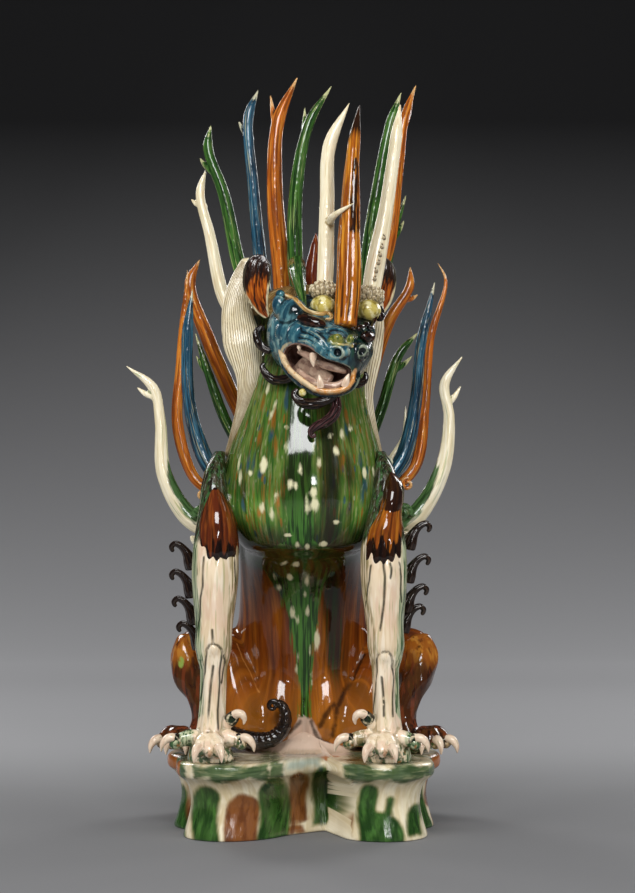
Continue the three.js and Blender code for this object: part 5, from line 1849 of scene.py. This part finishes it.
DARK_CLAY = Coat("black_brown_glaze", "#170e0b", (
    Runs("#2f1f17", 0.8, size=(1.6, 30.0), cover=0.42),
    Runs("#6b5a44", 0.4, size=(1.4, 24.0), cover=0.1, seed=6.0),
    Pool("#080504", 0.9),
), gloss=0.08, dull=0.16)


@dataclass
class Tail:
    """The dark tail, brought round to the front and curled up at its tip."""

    path: Path = ((-70, 14, 26), (-96, -22, 28), (-91, -44, 25), (-74, -54, 19), (-54, -57, 16),
                  (-37, -58, 19), (-25, -58, 31), (-22, -58, 47), (-27, -59, 59), (-36, -60, 61))
    widths: Sequence[float] = (8, 8.5, 8.5, 9, 10, 10.5, 9.8, 8.6, 7, 4.6)

    def build(self) -> None:
        """Makes the ribbed tail."""
        ribs = lambda a, t: 1 + 0.03 * np.cos(9 * a + 5 * t) + 0.035 * np.cos(150 * t + 2 * np.sin(2 * a))
        body = sweep(self.path, self.widths, 1.0, 48, 170, ribs, (4, 4))
        put("tail", body, DARK_CLAY)
        put("tail_curl", scroll((-37, -61, 58), 6.5, 3.6, 20, 1.2, 1, 1.2, 2), DARK_CLAY)


@dataclass
class Fringe:
    """The row of ribbed, hooked tufts behind a foreleg."""

    side: int
    x: float
    tips: Path  # the photograph's pixel of each tuft's knob

    def build(self) -> None:
        """Makes the strip and its tufts."""
        s, x = self.side, self.x
        ribs = lambda a, t: 1 + 0.09 * np.cos(7 * a)
        flutes = lambda a, t: 1 + 0.07 * np.cos(11 * a + 4 * t)
        strip = [(x + s * out, y, z) for out, y, z in ((2, -98, 268), (14, -90, 205), (12, -92, 150),
                                                       (6, -94, 120))]
        parts = [sweep(strip, [10, 11, 9, 5], 1.1, 40, 60, flutes, (6, 6))]
        for px, py in self.tips:
            line = [seen_at(px - s * across, py + down, -84) for across, down in (
                (20, 24), (15, 9), (8, 0), (2, -2.5), (-1.5, 0.5), (-0.5, 4), (1.5, 4.5))]
            parts.append(sweep(line, [8, 8, 6.4, 4.6, 3.8, 3.2, 2.4], 0.9, 28, 50, ribs, (3, 2)))
        put("fringe_" + side_name(s), Surface.joined(parts), DARK_CLAY)


@dataclass
class Mane:
    """A band of combed mane from behind an ear to the shoulder."""

    name: str
    path: Path
    widths: Sequence[float]
    strands: int
    # The strands lean by so many strands down to a share of the band.
    lean: float = 0.42
    lean_end: float = 0.55
    line: float = 0.42  # half the width of an incised line, in millimetres

    def leaning(self, share: np.ndarray) -> np.ndarray:
        """How many strands' widths the strands lean at a share of the band."""
        return self.lean * np.clip(self.lean_end - share, 0, 1)

    def combed(self, angle: np.ndarray, share: np.ndarray) -> np.ndarray:
        """Incised strands that run slantwise down the band."""
        count = self.strands * (0.5 + 0.5 * np.cos(angle + np.pi) + self.leaning(share))
        ridge = np.abs(np.sin(np.pi * count))
        return 1 - 0.05 * (1 - ridge) ** 4 * step(0.0, 0.06, share)

    def build(self) -> None:
        """Makes the band."""
        band = sweep(self.path, self.widths, 0.62, 260, 100, self.combed, (8, 6))
        band.with_relief(1, 3.0)
        share, turn = band.fields["share"], band.fields["turn"]
        side = band.follow(self.path).fields["side"]
        width = np.interp(share, np.linspace(0, 1, len(self.widths)), self.widths)
        count = self.strands * (0.5 - 0.5 * np.clip(side / width, -1, 1) + self.leaning(share))
        gap = np.abs(count - np.round(count)) * 2 * width / self.strands
        band.fields["comb"] = self.line - gap - 3 * step(0.3, 0.05, turn) - 3 * step(0.03, 0.0, share)
        put("mane_" + self.name, band, COMBED)


COMBED = Coat("combed_mane_glaze", "#dccfae", (
    Runs("#cbbb93", 0.6, size=(8.0, 40.0), cover=0.4),
    Runs("#eee4c8", 0.6, size=(6.0, 40.0), cover=0.35, seed=5.0),
    Layer("#6b5330", 0.85, within="comb", edge=0.3, wander=0.12, stray=(2.0, 12.0)),
), Slot.BEAST, gloss=0.16, dull=0.26)
MANES = (
    Mane("left", [(-66, -30, 598), (-77, -34, 566), (-81, -42, 536), (-74, -58, 494), (-66, -68, 456),
                  (-70, -74, 424), (-79, -74, 392), (-92, -62, 356)], [8, 14, 19, 23, 17, 10, 7, 4], 15),
    Mane("right", [(82, -22, 592), (86, -32, 556), (84, -44, 512), (77, -58, 462), (74, -68, 428),
                   (80, -72, 396), (92, -62, 356)], [5, 9, 13, 14, 10, 7, 4], 9),
)


@dataclass
class Head:
    """The beast's head: a broad muzzle with an open mouth, turned and leaning towards +X."""

    centre: tuple[float, float, float] = (17.0, -68.0, 497.0)
    turn: float = 22.0
    tilt: float = 14.0
    nod: float = 4.0
    # The two halves, and how wide each is; the one that is turned away is narrower.
    halves: Path = ((LEFT, 1.0), (RIGHT, 0.76))
    # Depth, middle x, middle z, half width, rise and drop of the skull's sections, in the head's own frame.
    skull: Path = (
        (52, 0, 12, 34, 32, 36), (4, -1, 6, 65, 47, 58), (-30, -3, 3, 63, 38, 58), (-52, -4, 1, 56, 29, 53),
        (-76, -6, -2, 44, 23, 48), (-93, -8, -5, 33, 18, 43), (-102, -9, -5, 21, 12, 27),
        (-107, -9, -6, 8, 6, 12),
    )
    # Outlines as the photograph shows them: column and row in its pixels, for the lips with their depth in y.
    mouth: Path = (
        (283, 352), (287, 347), (293, 344.5), (301, 345), (309, 347.5), (317, 353), (325, 358.5),
        (335, 361.5), (344, 364.5), (351, 369.5), (350.5, 378), (346, 384.5), (338, 388), (326, 389),
        (315, 386), (303, 377.5), (292, 368), (285.5, 359),
    )
    upper_lip: Path = ((281.5, 353, -122), (285, 346.5, -132), (292, 342.5, -142), (301, 343, -150),
                       (310, 345.5, -157), (318, 351, -162), (326, 356.5, -166), (335, 359.5, -167),
                       (344, 362.5, -163), (351.5, 367, -155))
    lower_lip: Path = ((281.5, 352, -122), (284, 360.5, -131), (290.5, 370, -139), (302, 380, -147),
                       (314.5, 388.5, -154), (326, 391.5, -157), (339, 390.5, -157), (348, 386.5, -155),
                       (353, 379.5, -151), (353.5, 371, -149))
    jaw: Path = ((280, 350, -112), (282, 360, -122), (288, 370.5, -131), (298.5, 381.5, -139),
                 (311, 390, -146), (324, 394, -150), (338, 393.5, -150), (349.5, 389, -147),
                 (356.5, 381, -143), (358.5, 371, -138))
    # The brow's cord over the left eye, from its outer curl to the nose.
    brow: Path = ((277.5, 292), (275.8, 286), (278, 281.5), (282.5, 280.5), (287, 283.5), (291, 291),
                  (296.5, 301.5), (304, 309.5), (313, 314), (321, 315), (327, 314), (331, 316.5),
                  (329, 320.5), (325, 320))
    # The far brow's cord and an eye's slit, in the head's own frame.
    far_brow: Path = ((76, -28, 43), (79, -28, 50), (73, -29, 57), (66, -35, 51), (59, -45, 38),
                      (51, -57, 31), (40, -68, 32), (31, -77, 35), (24, -82, 31), (17, -87, 30),
                      (14, -89, 27), (17, -89, 24))
    eye: Path = ((55, -57, 21), (49, -64, 21), (42, -70, 20), (34, -77, 20), (27, -81, 21))

    def matrix(self) -> np.ndarray:
        """The head's own rotation."""
        tilt, turn, nod = (Matrix.Rotation(math.radians(angle), 3, axis) for angle, axis in (
            (self.tilt, "Y"), (self.turn, "Z"), (self.nod, "X")))
        return np.array(tilt @ turn @ nod)

    def at(self, places: Path) -> np.ndarray:
        """Places in the head's own frame, turned into carving places."""
        return np.asarray(places, float) @ self.matrix().T + np.asarray(self.centre)

    def local(self, points: np.ndarray) -> np.ndarray:
        """Points of a surface in the head's own frame."""
        return (points - raised(np.asarray(self.centre))) @ self.matrix()

    def roll(self, places: Path, widths: Sequence[float], **options) -> Surface:
        """A roll of clay on the head, through places in its own frame."""
        return sweep(self.at(places), widths, **{"sides": 24, "steps": 70, "blunt": (3, 3), **options})

    def bump(self, place: Sequence[float], radii: Sequence[float]) -> Surface:
        """A rounded swelling on the head."""
        return boss(self.at([place])[0], radii, 30, 20, self.matrix())

    def room(self) -> Surface:
        """The room of the open mouth, inwards from its outline."""
        outline = spline([*self.mouth, self.mouth[0]], np.linspace(0, 1, 73))[:-1]
        middle = outline.mean(axis=0)
        depths = ((-205, 1.0), (-175, 1.0), (-150, 0.99), (-130, 0.95), (-114, 0.84), (-104, 0.6),
                  (-100, 0.3))
        return loft(raised(np.array([
            [seen_at(*(middle + (spot - middle) * share), depth) for spot in outline] for depth,
            share in depths])))

    def seen_roll(self, places: Path, widths: Sequence[float], **options) -> Surface:
        """A roll of clay through the photograph's pixels, each with its depth."""
        return sweep([seen_at(*place) for place in places], widths,
                     **{"sides": 22, "steps": 70, "blunt": (2, 2), **options})

    def skull_form(self) -> Surface:
        """The skull and muzzle without features."""
        rings = []
        for y, x, z, half, rise, drop in spline(self.skull, np.linspace(0, 1, 60)):
            angle = np.linspace(0, 2 * np.pi, 80, endpoint=False)
            height = np.sin(angle) * np.where(np.sin(angle) > 0, rise, drop)
            ring = np.stack([x + half * np.cos(angle), np.full(80, y), z + height], -1)
            rings.append(raised(self.at(ring)))
        return loft(np.stack(rings))

    def features(self) -> list[Surface]:
        """Temples, cheeks, the nose and its wings."""
        made = [self.bump((s * 51 * r, -30, 22), (17, 22, 20)) for s, r in self.halves]
        made += [self.bump((s * 46 * r, -53, 1), (15, 17, 17)) for s, r in self.halves]
        spots = (
            # Column, row and depth, then half width, depth and height.
            (337, 338.5, -166, 8, 7, 6), (350.5, 339, -161, 4.6, 6, 5.8), (331, 351, -166, 9.5, 8, 8),
            (361, 350.5, -153, 8, 9, 9.5), (345, 352, -170, 7, 6, 6), (279, 305, -110, 8.5, 10, 13),
            (286, 333, -122, 13, 10, 12), (318, 334, -155, 13, 10, 8),
        )
        made += [boss(seen_at(*spot[:3]), spot[3:], 30, 20) for spot in spots]
        made.append(self.seen_roll(self.jaw, [3, 4.4, 5, 5, 5, 4.8, 4.6, 4.4, 4, 3]))
        return made

    def wrinkles(self, tree: BVHTree) -> list[Surface]:
        """The folds on the muzzle's side and round the eye, placed as the photograph shows them."""
        folds = (
            [(303, 329), (313, 333), (322, 340), (329, 349)],
            [(300, 335), (311, 338), (319, 344), (326, 353)],
            [(297, 341), (308, 342), (316, 347), (323, 354)],
            [(296, 323), (304, 327), (318, 330), (329, 331)], [(366, 334), (370, 340), (368, 350)],
            [(338, 345), (345, 346), (352, 345.5)],
            [(330, 349), (335.5, 346.5), (341.5, 349), (343.5, 354), (339, 358), (332.5, 357),
             (329.5, 352.5)], [(359, 348), (363.5, 345.5), (366.5, 349.5), (366, 356), (362, 359.5),
                               (358.5, 357), (358, 351)], [(322, 331), (330, 329), (340, 330), (347, 333)],
        )
        lines = [[seen_on(tree, *spot, 0.4) for spot in fold] for fold in folds]
        return [sweep(line, [1.4, 2.2, 2.2, 1.6], sides=18, steps=50, blunt=(3, 3)) for line in lines]

    def build(self) -> None:
        """Makes the head and everything on it."""
        room = self.room()
        plain = fuse([self.skull_form(), *self.features()], 1.7, 4)
        tree = plain.tree()
        open_mouth = carved(fuse([plain, *self.wrinkles(tree)], 1.5, 2), room)
        lips = [self.seen_roll(self.upper_lip, [1.6, 2.4, 2.6, 2.4, 2.4, 2.6, 3, 3, 2.6, 2]),
                self.seen_roll(self.lower_lip, [1.8, 2.4, 2.8, 3, 3.2, 3.4, 3.4, 3.2, 2.8, 2])]
        skin = fuse([open_mouth, *lips], *HEAD_SKIN)
        nostrils = ((337.5, 352.5), (362.5, 352))
        holes = near_spots(skin.points, [(seen_on(tree, *spot), 6.0) for spot in nostrils])
        skin.points = skin.points - skin.normals() * (3.4 * step(0, 5, holes))[:, None]
        local = self.local(skin.points)
        skin.fields["flow"] = local
        inside = room.tree()
        away = np.array([inside.find_nearest(Vector(p))[3] for p in skin.points])
        lower, upper = (near_line(skin.points, [seen_at(*place) for place in lip])
                        for lip in (self.lower_lip, self.upper_lip))
        x, y, z = local.T
        deep = (y > -96) & (np.abs(x + 12) < 50)
        skin.fields["inside"] = np.where(deep, 1.8 - away, -3.0) - 6 * (np.minimum(lower, upper) < 3)
        skin.fields["lip"] = 4.0 - lower
        skin.fields["lip_amber"] = np.minimum(4.0 - lower, skin.points[:, 0] - 14)
        skin.fields["lip_line"] = np.minimum(2.9 - upper, 22 - skin.points[:, 0])
        skin.fields["jaw"] = -50 - z + 0.25 * np.abs(x)
        # Painted shade over a darker glaze, on the half of the head that is turned away.
        skin.fields["dusk"] = x - 2 + 0.1 * z
        nose = [(seen_at(337, 338, -172), 9.5), (seen_at(350.5, 338, -166), 7)]
        skin.fields["nose"] = near_spots(skin.points, nose)
        # A painted highlight: a pale bar under the nose's bulbs.
        painted_highlight_bar = [seen_on(tree, *spot) for spot in ((339, 345), (345, 346), (352, 345.5))]
        skin.fields["painted_highlight_bar"] = 2.4 - near_line(skin.points, painted_highlight_bar)
        # Painted shade: the eye sockets, the hollows between the brow and the stump, the far brow and the
        # nostrils' holes are darkened in the field black.
        sockets = ((295, 309, 7), (303, 315, 7), (313, 319, 7), (324, 320, 6), (296, 285, 6), (300, 291, 8),
                   (304, 298, 8), (309, 304, 7), (307, 290, 8), (315, 309, 5), (352, 324, 8), (362, 317, 8),
                   (369, 322, 7))
        dark = near_spots(skin.points, [(seen_on(tree, px, py), size * 1.2) for px, py, size in sockets])
        skin.fields["black"] = np.maximum(holes - 1, dark)
        put("head", skin, HEAD)
        self.dress_face(tree)

    def dress_face(self, tree: BVHTree) -> None:
        """Makes the brows, eyes, teeth, tongue, curls, beard, stumps and ears."""
        for s, r in self.halves:
            name = side_name(s)
            if s == LEFT:
                brow = np.array([seen_on(tree, *spot, 1.4) for spot in self.brow])
                ball = seen_on(tree, 282, 291, -1.0)
            else:
                brow = self.at([(s * x * r, y, z) for x, y, z in self.far_brow])
                ball = self.at([(s * 73 * r, -32, 47)])[0]
            widths = [2, 2.4, 2.4, 2.4, 2.4, 2.4, 2.5, 2.6, 2.6, 2.6, 2.4, 2.2, 1.6]
            cord = sweep(brow, widths, sides=24, steps=140, blunt=(2, 2))
            put("brow_" + name, cord.follow(brow), BROW if s == LEFT else EYE_GLAZE)
            put("brow_ball_" + name, boss(ball, (6, 6, 6.5)), TEAL_CLAY if s == LEFT else EYE_GLAZE)
            line = [(s * x * r, y, z) for x, y, z in self.eye]
            put("eye_" + name, self.roll(line, [3, 6.5, 7.5, 6.5, 3], sides=40), EYE_GLAZE)
        teeth = [
            [(313.5, 353, -158), (313, 360, -160), (313.5, 367, -160)],
            [(299, 346, -147), (299.3, 348.5, -149), (299.6, 351.5, -149)],
            [(320.5, 388, -155), (320, 381, -157), (319, 374.5, -157)],
            [(345, 387, -154), (346.5, 380, -156), (349, 373.5, -156)],
        ]
        girths = ([4.8, 3.8, 0.6], [2.8, 2.2, 0.6], [4.6, 3.6, 0.6], [4.8, 3.8, 0.6])
        fangs = [self.seen_roll(tooth, girth, blunt=(1, 1)) for tooth, girth in zip(teeth, girths)]
        put("fangs", Surface.joined(fangs), CLAW)
        tongue = self.seen_roll([(300, 362, -112), (314, 375, -128), (330, 383, -142)], [14, 14, 10],
                                depth=0.4, sides=40)
        gum = self.seen_roll([(297, 370, -134), (311, 381, -144), (325, 386, -149), (338, 385, -149),
                              (347, 379, -146)],
                             [3.5, 4.6, 5, 4.6, 3], sides=30)
        palate = self.seen_roll([(298, 351, -138), (309, 356, -147), (322, 364, -152), (334, 368, -152),
                                 (346, 372, -146)],
                                [3, 4.4, 4.6, 4.4, 3], sides=30)
        put("tongue", Surface.joined([tongue, gum, palate]), MOUTH)
        foot = self.seen_roll([(296.5, 262, -24), (298, 276, -66), (300, 288, -90), (302.5, 299, -104),
                               (304.5, 309, -112)],
                              [9.5, 10, 8.5, 6, 2.5], sides=40, profile=lambda a, t: 1 + 0.06 * np.cos(7 * a))
        put("spike_foot", foot, GREEN_SPIKE)
        self.curls()
        for name, place in (("left", (23, -107, 535)), ("right", (77, -84, 531))):
            lobes = lambda a, t: 1 - 0.1 * np.abs(np.cos(1.5 * a + 0.5)) ** 12
            put("stump_" + name, boss(place, (15.5, 15, 13.5), 96, 40, profile=lobes), STUMP)
        Ear("left", [(-43, -80, 523), (-50, -81, 534), (-55.5, -82, 552), (-56, -83, 572), (-53, -83, 589),
                     (-50, -82, 598)], (3, 9, 14, 16.5, 15.5, 9)).build()
        Ear("right", [(80, -32, 520), (89, -33, 544), (94.5, -34, 566), (98, -35, 584),
                      (99, -35, 598)]).build()

    def curls(self) -> None:
        """Makes the beard, the chin's curl, the whiskers and the cheek's curl."""
        ridges = lambda a, t: 1 + 0.1 * np.cos(7 * a + 3 * np.sin(9 * t))
        locks = {
            "beard": ([(333, 391, -136), (335.5, 400, -141), (336, 408, -142), (332.5, 416.5, -141),
                       (325, 422.5, -139), (316, 426.5, -137), (311, 431.5, -135), (312.5, 436, -135),
                       (316, 434.5, -136)],
                      [5, 5.8, 6, 6.2, 6.2, 5.8, 5, 3.6, 2.2], BEARD),
            "chin_curl": ([(336, 395, -146), (326, 400, -148), (312, 404, -146), (300, 401.5, -143),
                           (294.5, 394, -141),
                           (297.5, 388, -141)], [4.5, 5.5, 6.2, 5.8, 4.6, 2], DARK_CLAY),
            "whisker_left": ([(293, 378, -118), (283, 379.5, -112), (274, 380, -108), (266, 374, -106),
                              (262.5, 366, -104),
                              (265, 362.5, -104)], [4.5, 5.2, 5.4, 5, 4, 1.5], DARK_CLAY),
            "cheek_curl": ([(271, 352, -96), (262, 347, -94), (257, 338, -93), (257.5, 330.5, -92),
                            (262, 327.5, -92),
                            (264, 331, -92)], [3.6, 4.6, 4.8, 4.4, 3.6, 1.5], DARK_CLAY),
            "whisker_right": ([(348, 381, -138), (354, 384, -138), (361, 383, -134), (366, 377, -131),
                               (365, 371.5, -130)],
                              [4, 4.8, 4.6, 3.6, 1.4], DARK_CLAY),
        }
        for name, (path, widths, coat) in locks.items():
            put(name, self.seen_roll(path, widths, depth=0.9, sides=40, steps=90, profile=ridges), coat)
        put("chin_bead", boss(seen_at(302.5, 392.5, -147), (4.4, 4, 4.8), 20, 14), STUMP)


@dataclass
class Ear:
    """A scooped, leaf-shaped ear."""

    name: str
    path: Path
    widths: Sequence[float] = (5, 12, 16.5, 17, 13.5, 5)

    def build(self) -> None:
        """Makes the ear with its pale rim and its flame-like marks."""
        ribs = lambda a, t: 1 + 0.01 * np.cos(12 * a)
        leaf = sweep(self.path, self.widths, 0.42, 72, 84, ribs, (3, 9), scoop=0.3)
        share, turn = leaf.fields["share"], leaf.fields["turn"]
        side = leaf.follow(self.path).fields["side"]
        width = np.interp(share, np.linspace(0, 1, len(self.widths)), self.widths)
        within = width - np.abs(side)
        inner = turn > 0.02
        marks = 16 * step(0.35, 0.95, share) - within * 0.4 - 3 + 0.25 * side
        leaf.fields["scoop"] = np.where(inner, within - 2.2, -2.0)
        leaf.fields["dark"] = np.where(inner, marks, -4)
        put("ear_" + self.name, leaf, EAR)


HEAD = Coat("teal_head_glaze", "#2a5764", (
    Runs("#6a979a", 0.8, size=(7.0, 16.0), cover=0.34, soft=0.14),
    Runs("#143344", 0.85, size=(8.0, 18.0), cover=0.38, seed=5.0, soft=0.14),
    Runs("#a9c0b4", 0.5, size=(5.0, 8.0), cover=0.08, seed=12.0),
    # Painted shade over a darker glaze, on the head's far half.
    Layer("#0a1512", 0.88, within="dusk", edge=10.0, wander=4.0, stray=(12.0, 12.0)),
    Runs("#2a4a2a", 0.6, within="dusk", size=(7.0, 9.0), cover=0.25, seed=8.0, edge=6.0),
    Layer("#0a131c", 0.85, within="jaw", edge=9.0, wander=4.0, stray=(14.0, 14.0)),
    # Painted shade in the eye sockets, the brow's hollows and the nostrils.
    Layer("#0b0d0c", 0.92, within="black", edge=4.0, wander=2.5, stray=(6.0, 6.0)),
    Pool("#070d12", 0.85, low=-0.1, full=-0.7),
    Worn("#a3ab94", 0.6, low=0.9, full=1.7, patch=5.0),
    Layer("#7d7a2c", 0.9, within="nose", edge=3.0, wander=1.6),
    Runs("#2c4a1c", 0.8, within="nose", size=(4.0, 5.0), cover=0.4, seed=3.0, edge=3.0),
    # The painted highlight under the nose.
    Layer("#c8b070", 0.9, within="painted_highlight_bar", edge=0.8, wander=0.4),
    Layer("#8f7064", 1.0, within="inside", edge=1.0, wander=0.3),
    Runs("#5a3c34", 0.7, within="inside", size=(9.0, 9.0), cover=0.35, seed=9.0),
    Layer("#cdb78c", 0.8, within="lip_line", edge=0.7, wander=0.4),
    Layer("#dfc49a", 0.95, within="lip", edge=1.0, wander=0.6, stray=(6.0, 6.0)),
    Runs("#b8741f", 0.8, within="lip", size=(5.0, 5.0), cover=0.2, seed=6.0),
    Layer("#c07a2a", 0.8, within="lip_amber", edge=2.0, wander=1.6, stray=(5.0, 5.0)),
), Slot.BEAST, gloss=0.07, dull=0.14)
TEAL_CLAY = Coat("teal_glaze", "#1b4049", (
    Runs("#3f727a", 0.85, size=(6.0, 9.0), cover=0.35),
    Runs("#0a1a20", 0.85, size=(5.0, 9.0), cover=0.5, seed=5.0),
    Pool("#070d12", 0.85),
), gloss=0.06, dull=0.1)
BROW = Coat("brow_glaze", "#c9a566", (
    Runs("#e6d8ad", 0.9, size=(5.0, 30.0), cover=0.4),
    Runs("#8a5a1e", 0.8, size=(3.0, 40.0), cover=0.35, seed=4.0),
    Pool("#2a1c0e", 0.8),
))
EYE_GLAZE = Coat("eye_glaze", "#130a07", (
    Runs("#3a1c0e", 0.8, size=(5.0, 7.0), cover=0.3),
), gloss=0.04, dull=0.07)
MOUTH = Coat("mouth_glaze", "#b2937f", (
    Runs("#cdb49c", 0.7, size=(7.0, 9.0), cover=0.4),
    Runs("#6a4a42", 0.6, size=(6.0, 9.0), cover=0.3, seed=5.0),
    Pool("#2a1614", 0.9),
))
STUMP = Coat("yellow_stump_glaze", "#bfae5c", (
    Runs("#e2d9a4", 0.9, size=(8.0, 10.0), cover=0.42),
    Runs("#77661f", 0.8, size=(6.0, 10.0), cover=0.3, seed=4.0),
    Pool("#2a240c", 0.9, low=-0.15, full=-0.7),
))
BEARD = Coat("purple_brown_glaze", "#2f1a1a", (
    Runs("#57393a", 0.8, size=(2.0, 30.0), cover=0.45),
    Pool("#0c0606", 0.9, low=-0.05, full=-0.4),
), gloss=0.07, dull=0.12)
EAR = Coat("ear_glaze", "#d6c8a0", (
    Runs("#b7a67c", 0.5, size=(5.0, 12.0), cover=0.4),
    Layer("#8a3f10", 1.0, within="scoop", edge=0.8, wander=0.5),
    Runs("#b9631a", 0.9, within="scoop", size=(2.6, 16.0), cover=0.45),
    Runs("#220e08", 0.9, within="scoop", size=(2.8, 22.0), cover=0.42, seed=5.0),
    Layer("#120a08", 0.95, within="dark", edge=2.5, wander=3.5, stray=(2.6, 18.0)),
), gloss=0.12, dull=0.2)


@dataclass
class Studio:
    """The pale floor, painted darker up the wall and towards the front as painted shade, the soft lights and
    the camera.
    """

    focal: float = 100.4
    lights: tuple = (
        # Name, place, aimed at, width, height, watts, whether the glaze mirrors it.
        ("front_top", (-0.1, -1.9, 2.1), (0, 0, 0.5), 1.3, 0.7, 34, True),
        ("key_left", (-2.0, -2.0, 1.3), (0, 0, 0.5), 1.2, 1.6, 40, False),
        ("fill_right", (2.0, -1.8, 1.0), (0, 0, 0.45), 1.2, 1.6, 27, False),
        ("strip_left", (-2.2, -0.7, 1.1), (0, 0, 0.6), 0.25, 1.5, 8, False),
        ("strip_right", (2.2, -0.8, 1.1), (0, 0, 0.6), 0.25, 1.5, 7, False),
        ("rear_left", (-1.5, 1.9, 1.7), (0, 0, 0.5), 0.8, 1.0, 22, True),
        ("rear_right", (1.6, 1.8, 1.5), (0, 0, 0.5), 0.8, 1.0, 20, True),
        ("window", (0.62, -2.6, 1.15), (0, 0, 0.3), 0.28, 0.3, 7, True),
    )
    # The paper, in metres: its front edge, where it bends up and how tightly, its back edge, half its width.
    front: float = -3.4
    bend: float = 1.8
    bend_radius: float = 1.2
    wall_top: tuple[float, float] = (3.05, 3.4)
    half_width: float = 4.5

    def build(self) -> None:
        """Makes the stage."""
        scene = bpy.context.scene
        camera = bpy.data.cameras.new("camera")
        camera.lens = self.focal
        camera.sensor_width = 36
        holder = bpy.data.objects.new("camera", camera)
        holder.location = Vector(EYE) * MM
        holder.rotation_euler = Euler((math.radians(90), 0, 0))
        scene.collection.objects.link(holder)
        scene.camera = holder
        for name, place, target, width, height, watts, mirrored in self.lights:
            light = bpy.data.lights.new(name, "AREA")
            light.shape = "RECTANGLE"
            light.size, light.size_y, light.energy = width, height, watts
            lamp = bpy.data.objects.new(name, light)
            lamp.location = place
            lamp.visible_glossy = mirrored
            lamp.rotation_euler = (Vector(target) - Vector(place)).to_track_quat("-Z", "Y").to_euler()
            scene.collection.objects.link(lamp)
        world = bpy.data.worlds.new("studio")
        world.use_nodes = True
        world.node_tree.nodes["Background"].inputs["Color"].default_value = linear("#6f6f74")
        world.node_tree.nodes["Background"].inputs["Strength"].default_value = 0.32
        scene.world = world
        scene.view_settings.view_transform = "Standard"
        self.floor()

    def floor(self) -> None:
        """Makes the floor, which bends up far behind the figure; painted shade darkens it up the wall and
        towards the front.
        """
        bend, radius = self.bend, self.bend_radius
        rows = [(self.front, 0.0), (1.0, 0.0), (bend, 0.0)]
        rows += [(bend + radius * math.sin(a), radius * (1 - math.cos(a))) for a in np.linspace(0.1, 1.5, 16)]
        rows.append(self.wall_top)
        points = np.array([(x, y, z) for y, z in rows for x in (-self.half_width, self.half_width)]) / MM
        quads = np.array([(2 * k, 2 * k + 1, 2 * k + 3, 2 * k + 2) for k in range(len(rows) - 1)])
        mesh = Surface(points, quads, np.zeros((0, 3), int)).mesh("floor")
        paper = bpy.data.materials.new("matt_paper")
        paper.use_nodes = True
        tree = paper.node_tree
        spot = add_node(tree, "ShaderNodeNewGeometry", {}, {}, "Position")
        height = add_node(tree, "ShaderNodeSeparateXYZ", {}, {0: spot}, "Z")
        # Painted shade: the paper darkens up the wall.
        painted_shade_up = add_node(tree, RANGE, {}, {"Value": height, "From Min": 0.02, "From Max": 1.25})
        painted_shade_up = add_node(tree, MATH, {"operation": "POWER"}, {0: painted_shade_up, 1: 0.6})
        pale, dark = linear("#a2a2a4"), linear("#161617")
        colour = add_node(tree, MIX, {"data_type": "RGBA"}, {0: painted_shade_up, 6: pale, 7: dark}, 2)
        ahead = add_node(tree, "ShaderNodeSeparateXYZ", {}, {0: spot}, "Y")
        # Painted shade: the paper darkens towards the front.
        near = add_node(tree, RANGE, SMOOTH,
                        {"Value": ahead, "From Min": 0.85, "From Max": -0.1, "To Min": 0.0, "To Max": 0.52})
        colour = add_node(tree, MIX, {"data_type": "RGBA"}, {0: near, 6: colour, 7: linear("#1c1c1d")}, 2)
        matt = tree.nodes["Principled BSDF"]
        tree.links.new(colour, matt.inputs["Base Color"])
        matt.inputs["Roughness"].default_value = 0.8
        # From behind, the paper lets the figure be seen.
        back = add_node(tree, "ShaderNodeNewGeometry", {}, {}, "Backfacing")
        clear = add_node(tree, "ShaderNodeBsdfTransparent", {}, {}, 0)
        both = add_node(tree, "ShaderNodeMixShader", {}, {0: back, 1: matt.outputs[0], 2: clear}, 0)
        tree.links.new(both, tree.nodes["Material Output"].inputs["Surface"])
        mesh.materials.append(paper)
        made = bpy.data.objects.new("floor", mesh)
        bpy.context.scene.collection.objects.link(made)


def main() -> None:
    """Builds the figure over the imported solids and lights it."""
    logging.basicConfig(level=logging.INFO, format="%(message)s")
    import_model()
    Plinth().build()
    Torso().build()
    for foreleg in FORELEGS:
        foreleg.build()
    for sleeve in SLEEVES:
        sleeve.build()
    for side in (LEFT, RIGHT):
        Hindleg(side).build()
    Tail().build()
    Fringe(LEFT, -106, [(173, 546), (173, 574), (175.5, 601), (180, 626)]).build()
    Fringe(RIGHT, 97, [(428, 526), (427, 559), (425, 589), (422, 609)]).build()
    for mane in MANES:
        mane.build()
    Head().build()
    for spike in SPIKES:
        spike.build()
    Studio().build()


if __name__ == "__main__":
    main()
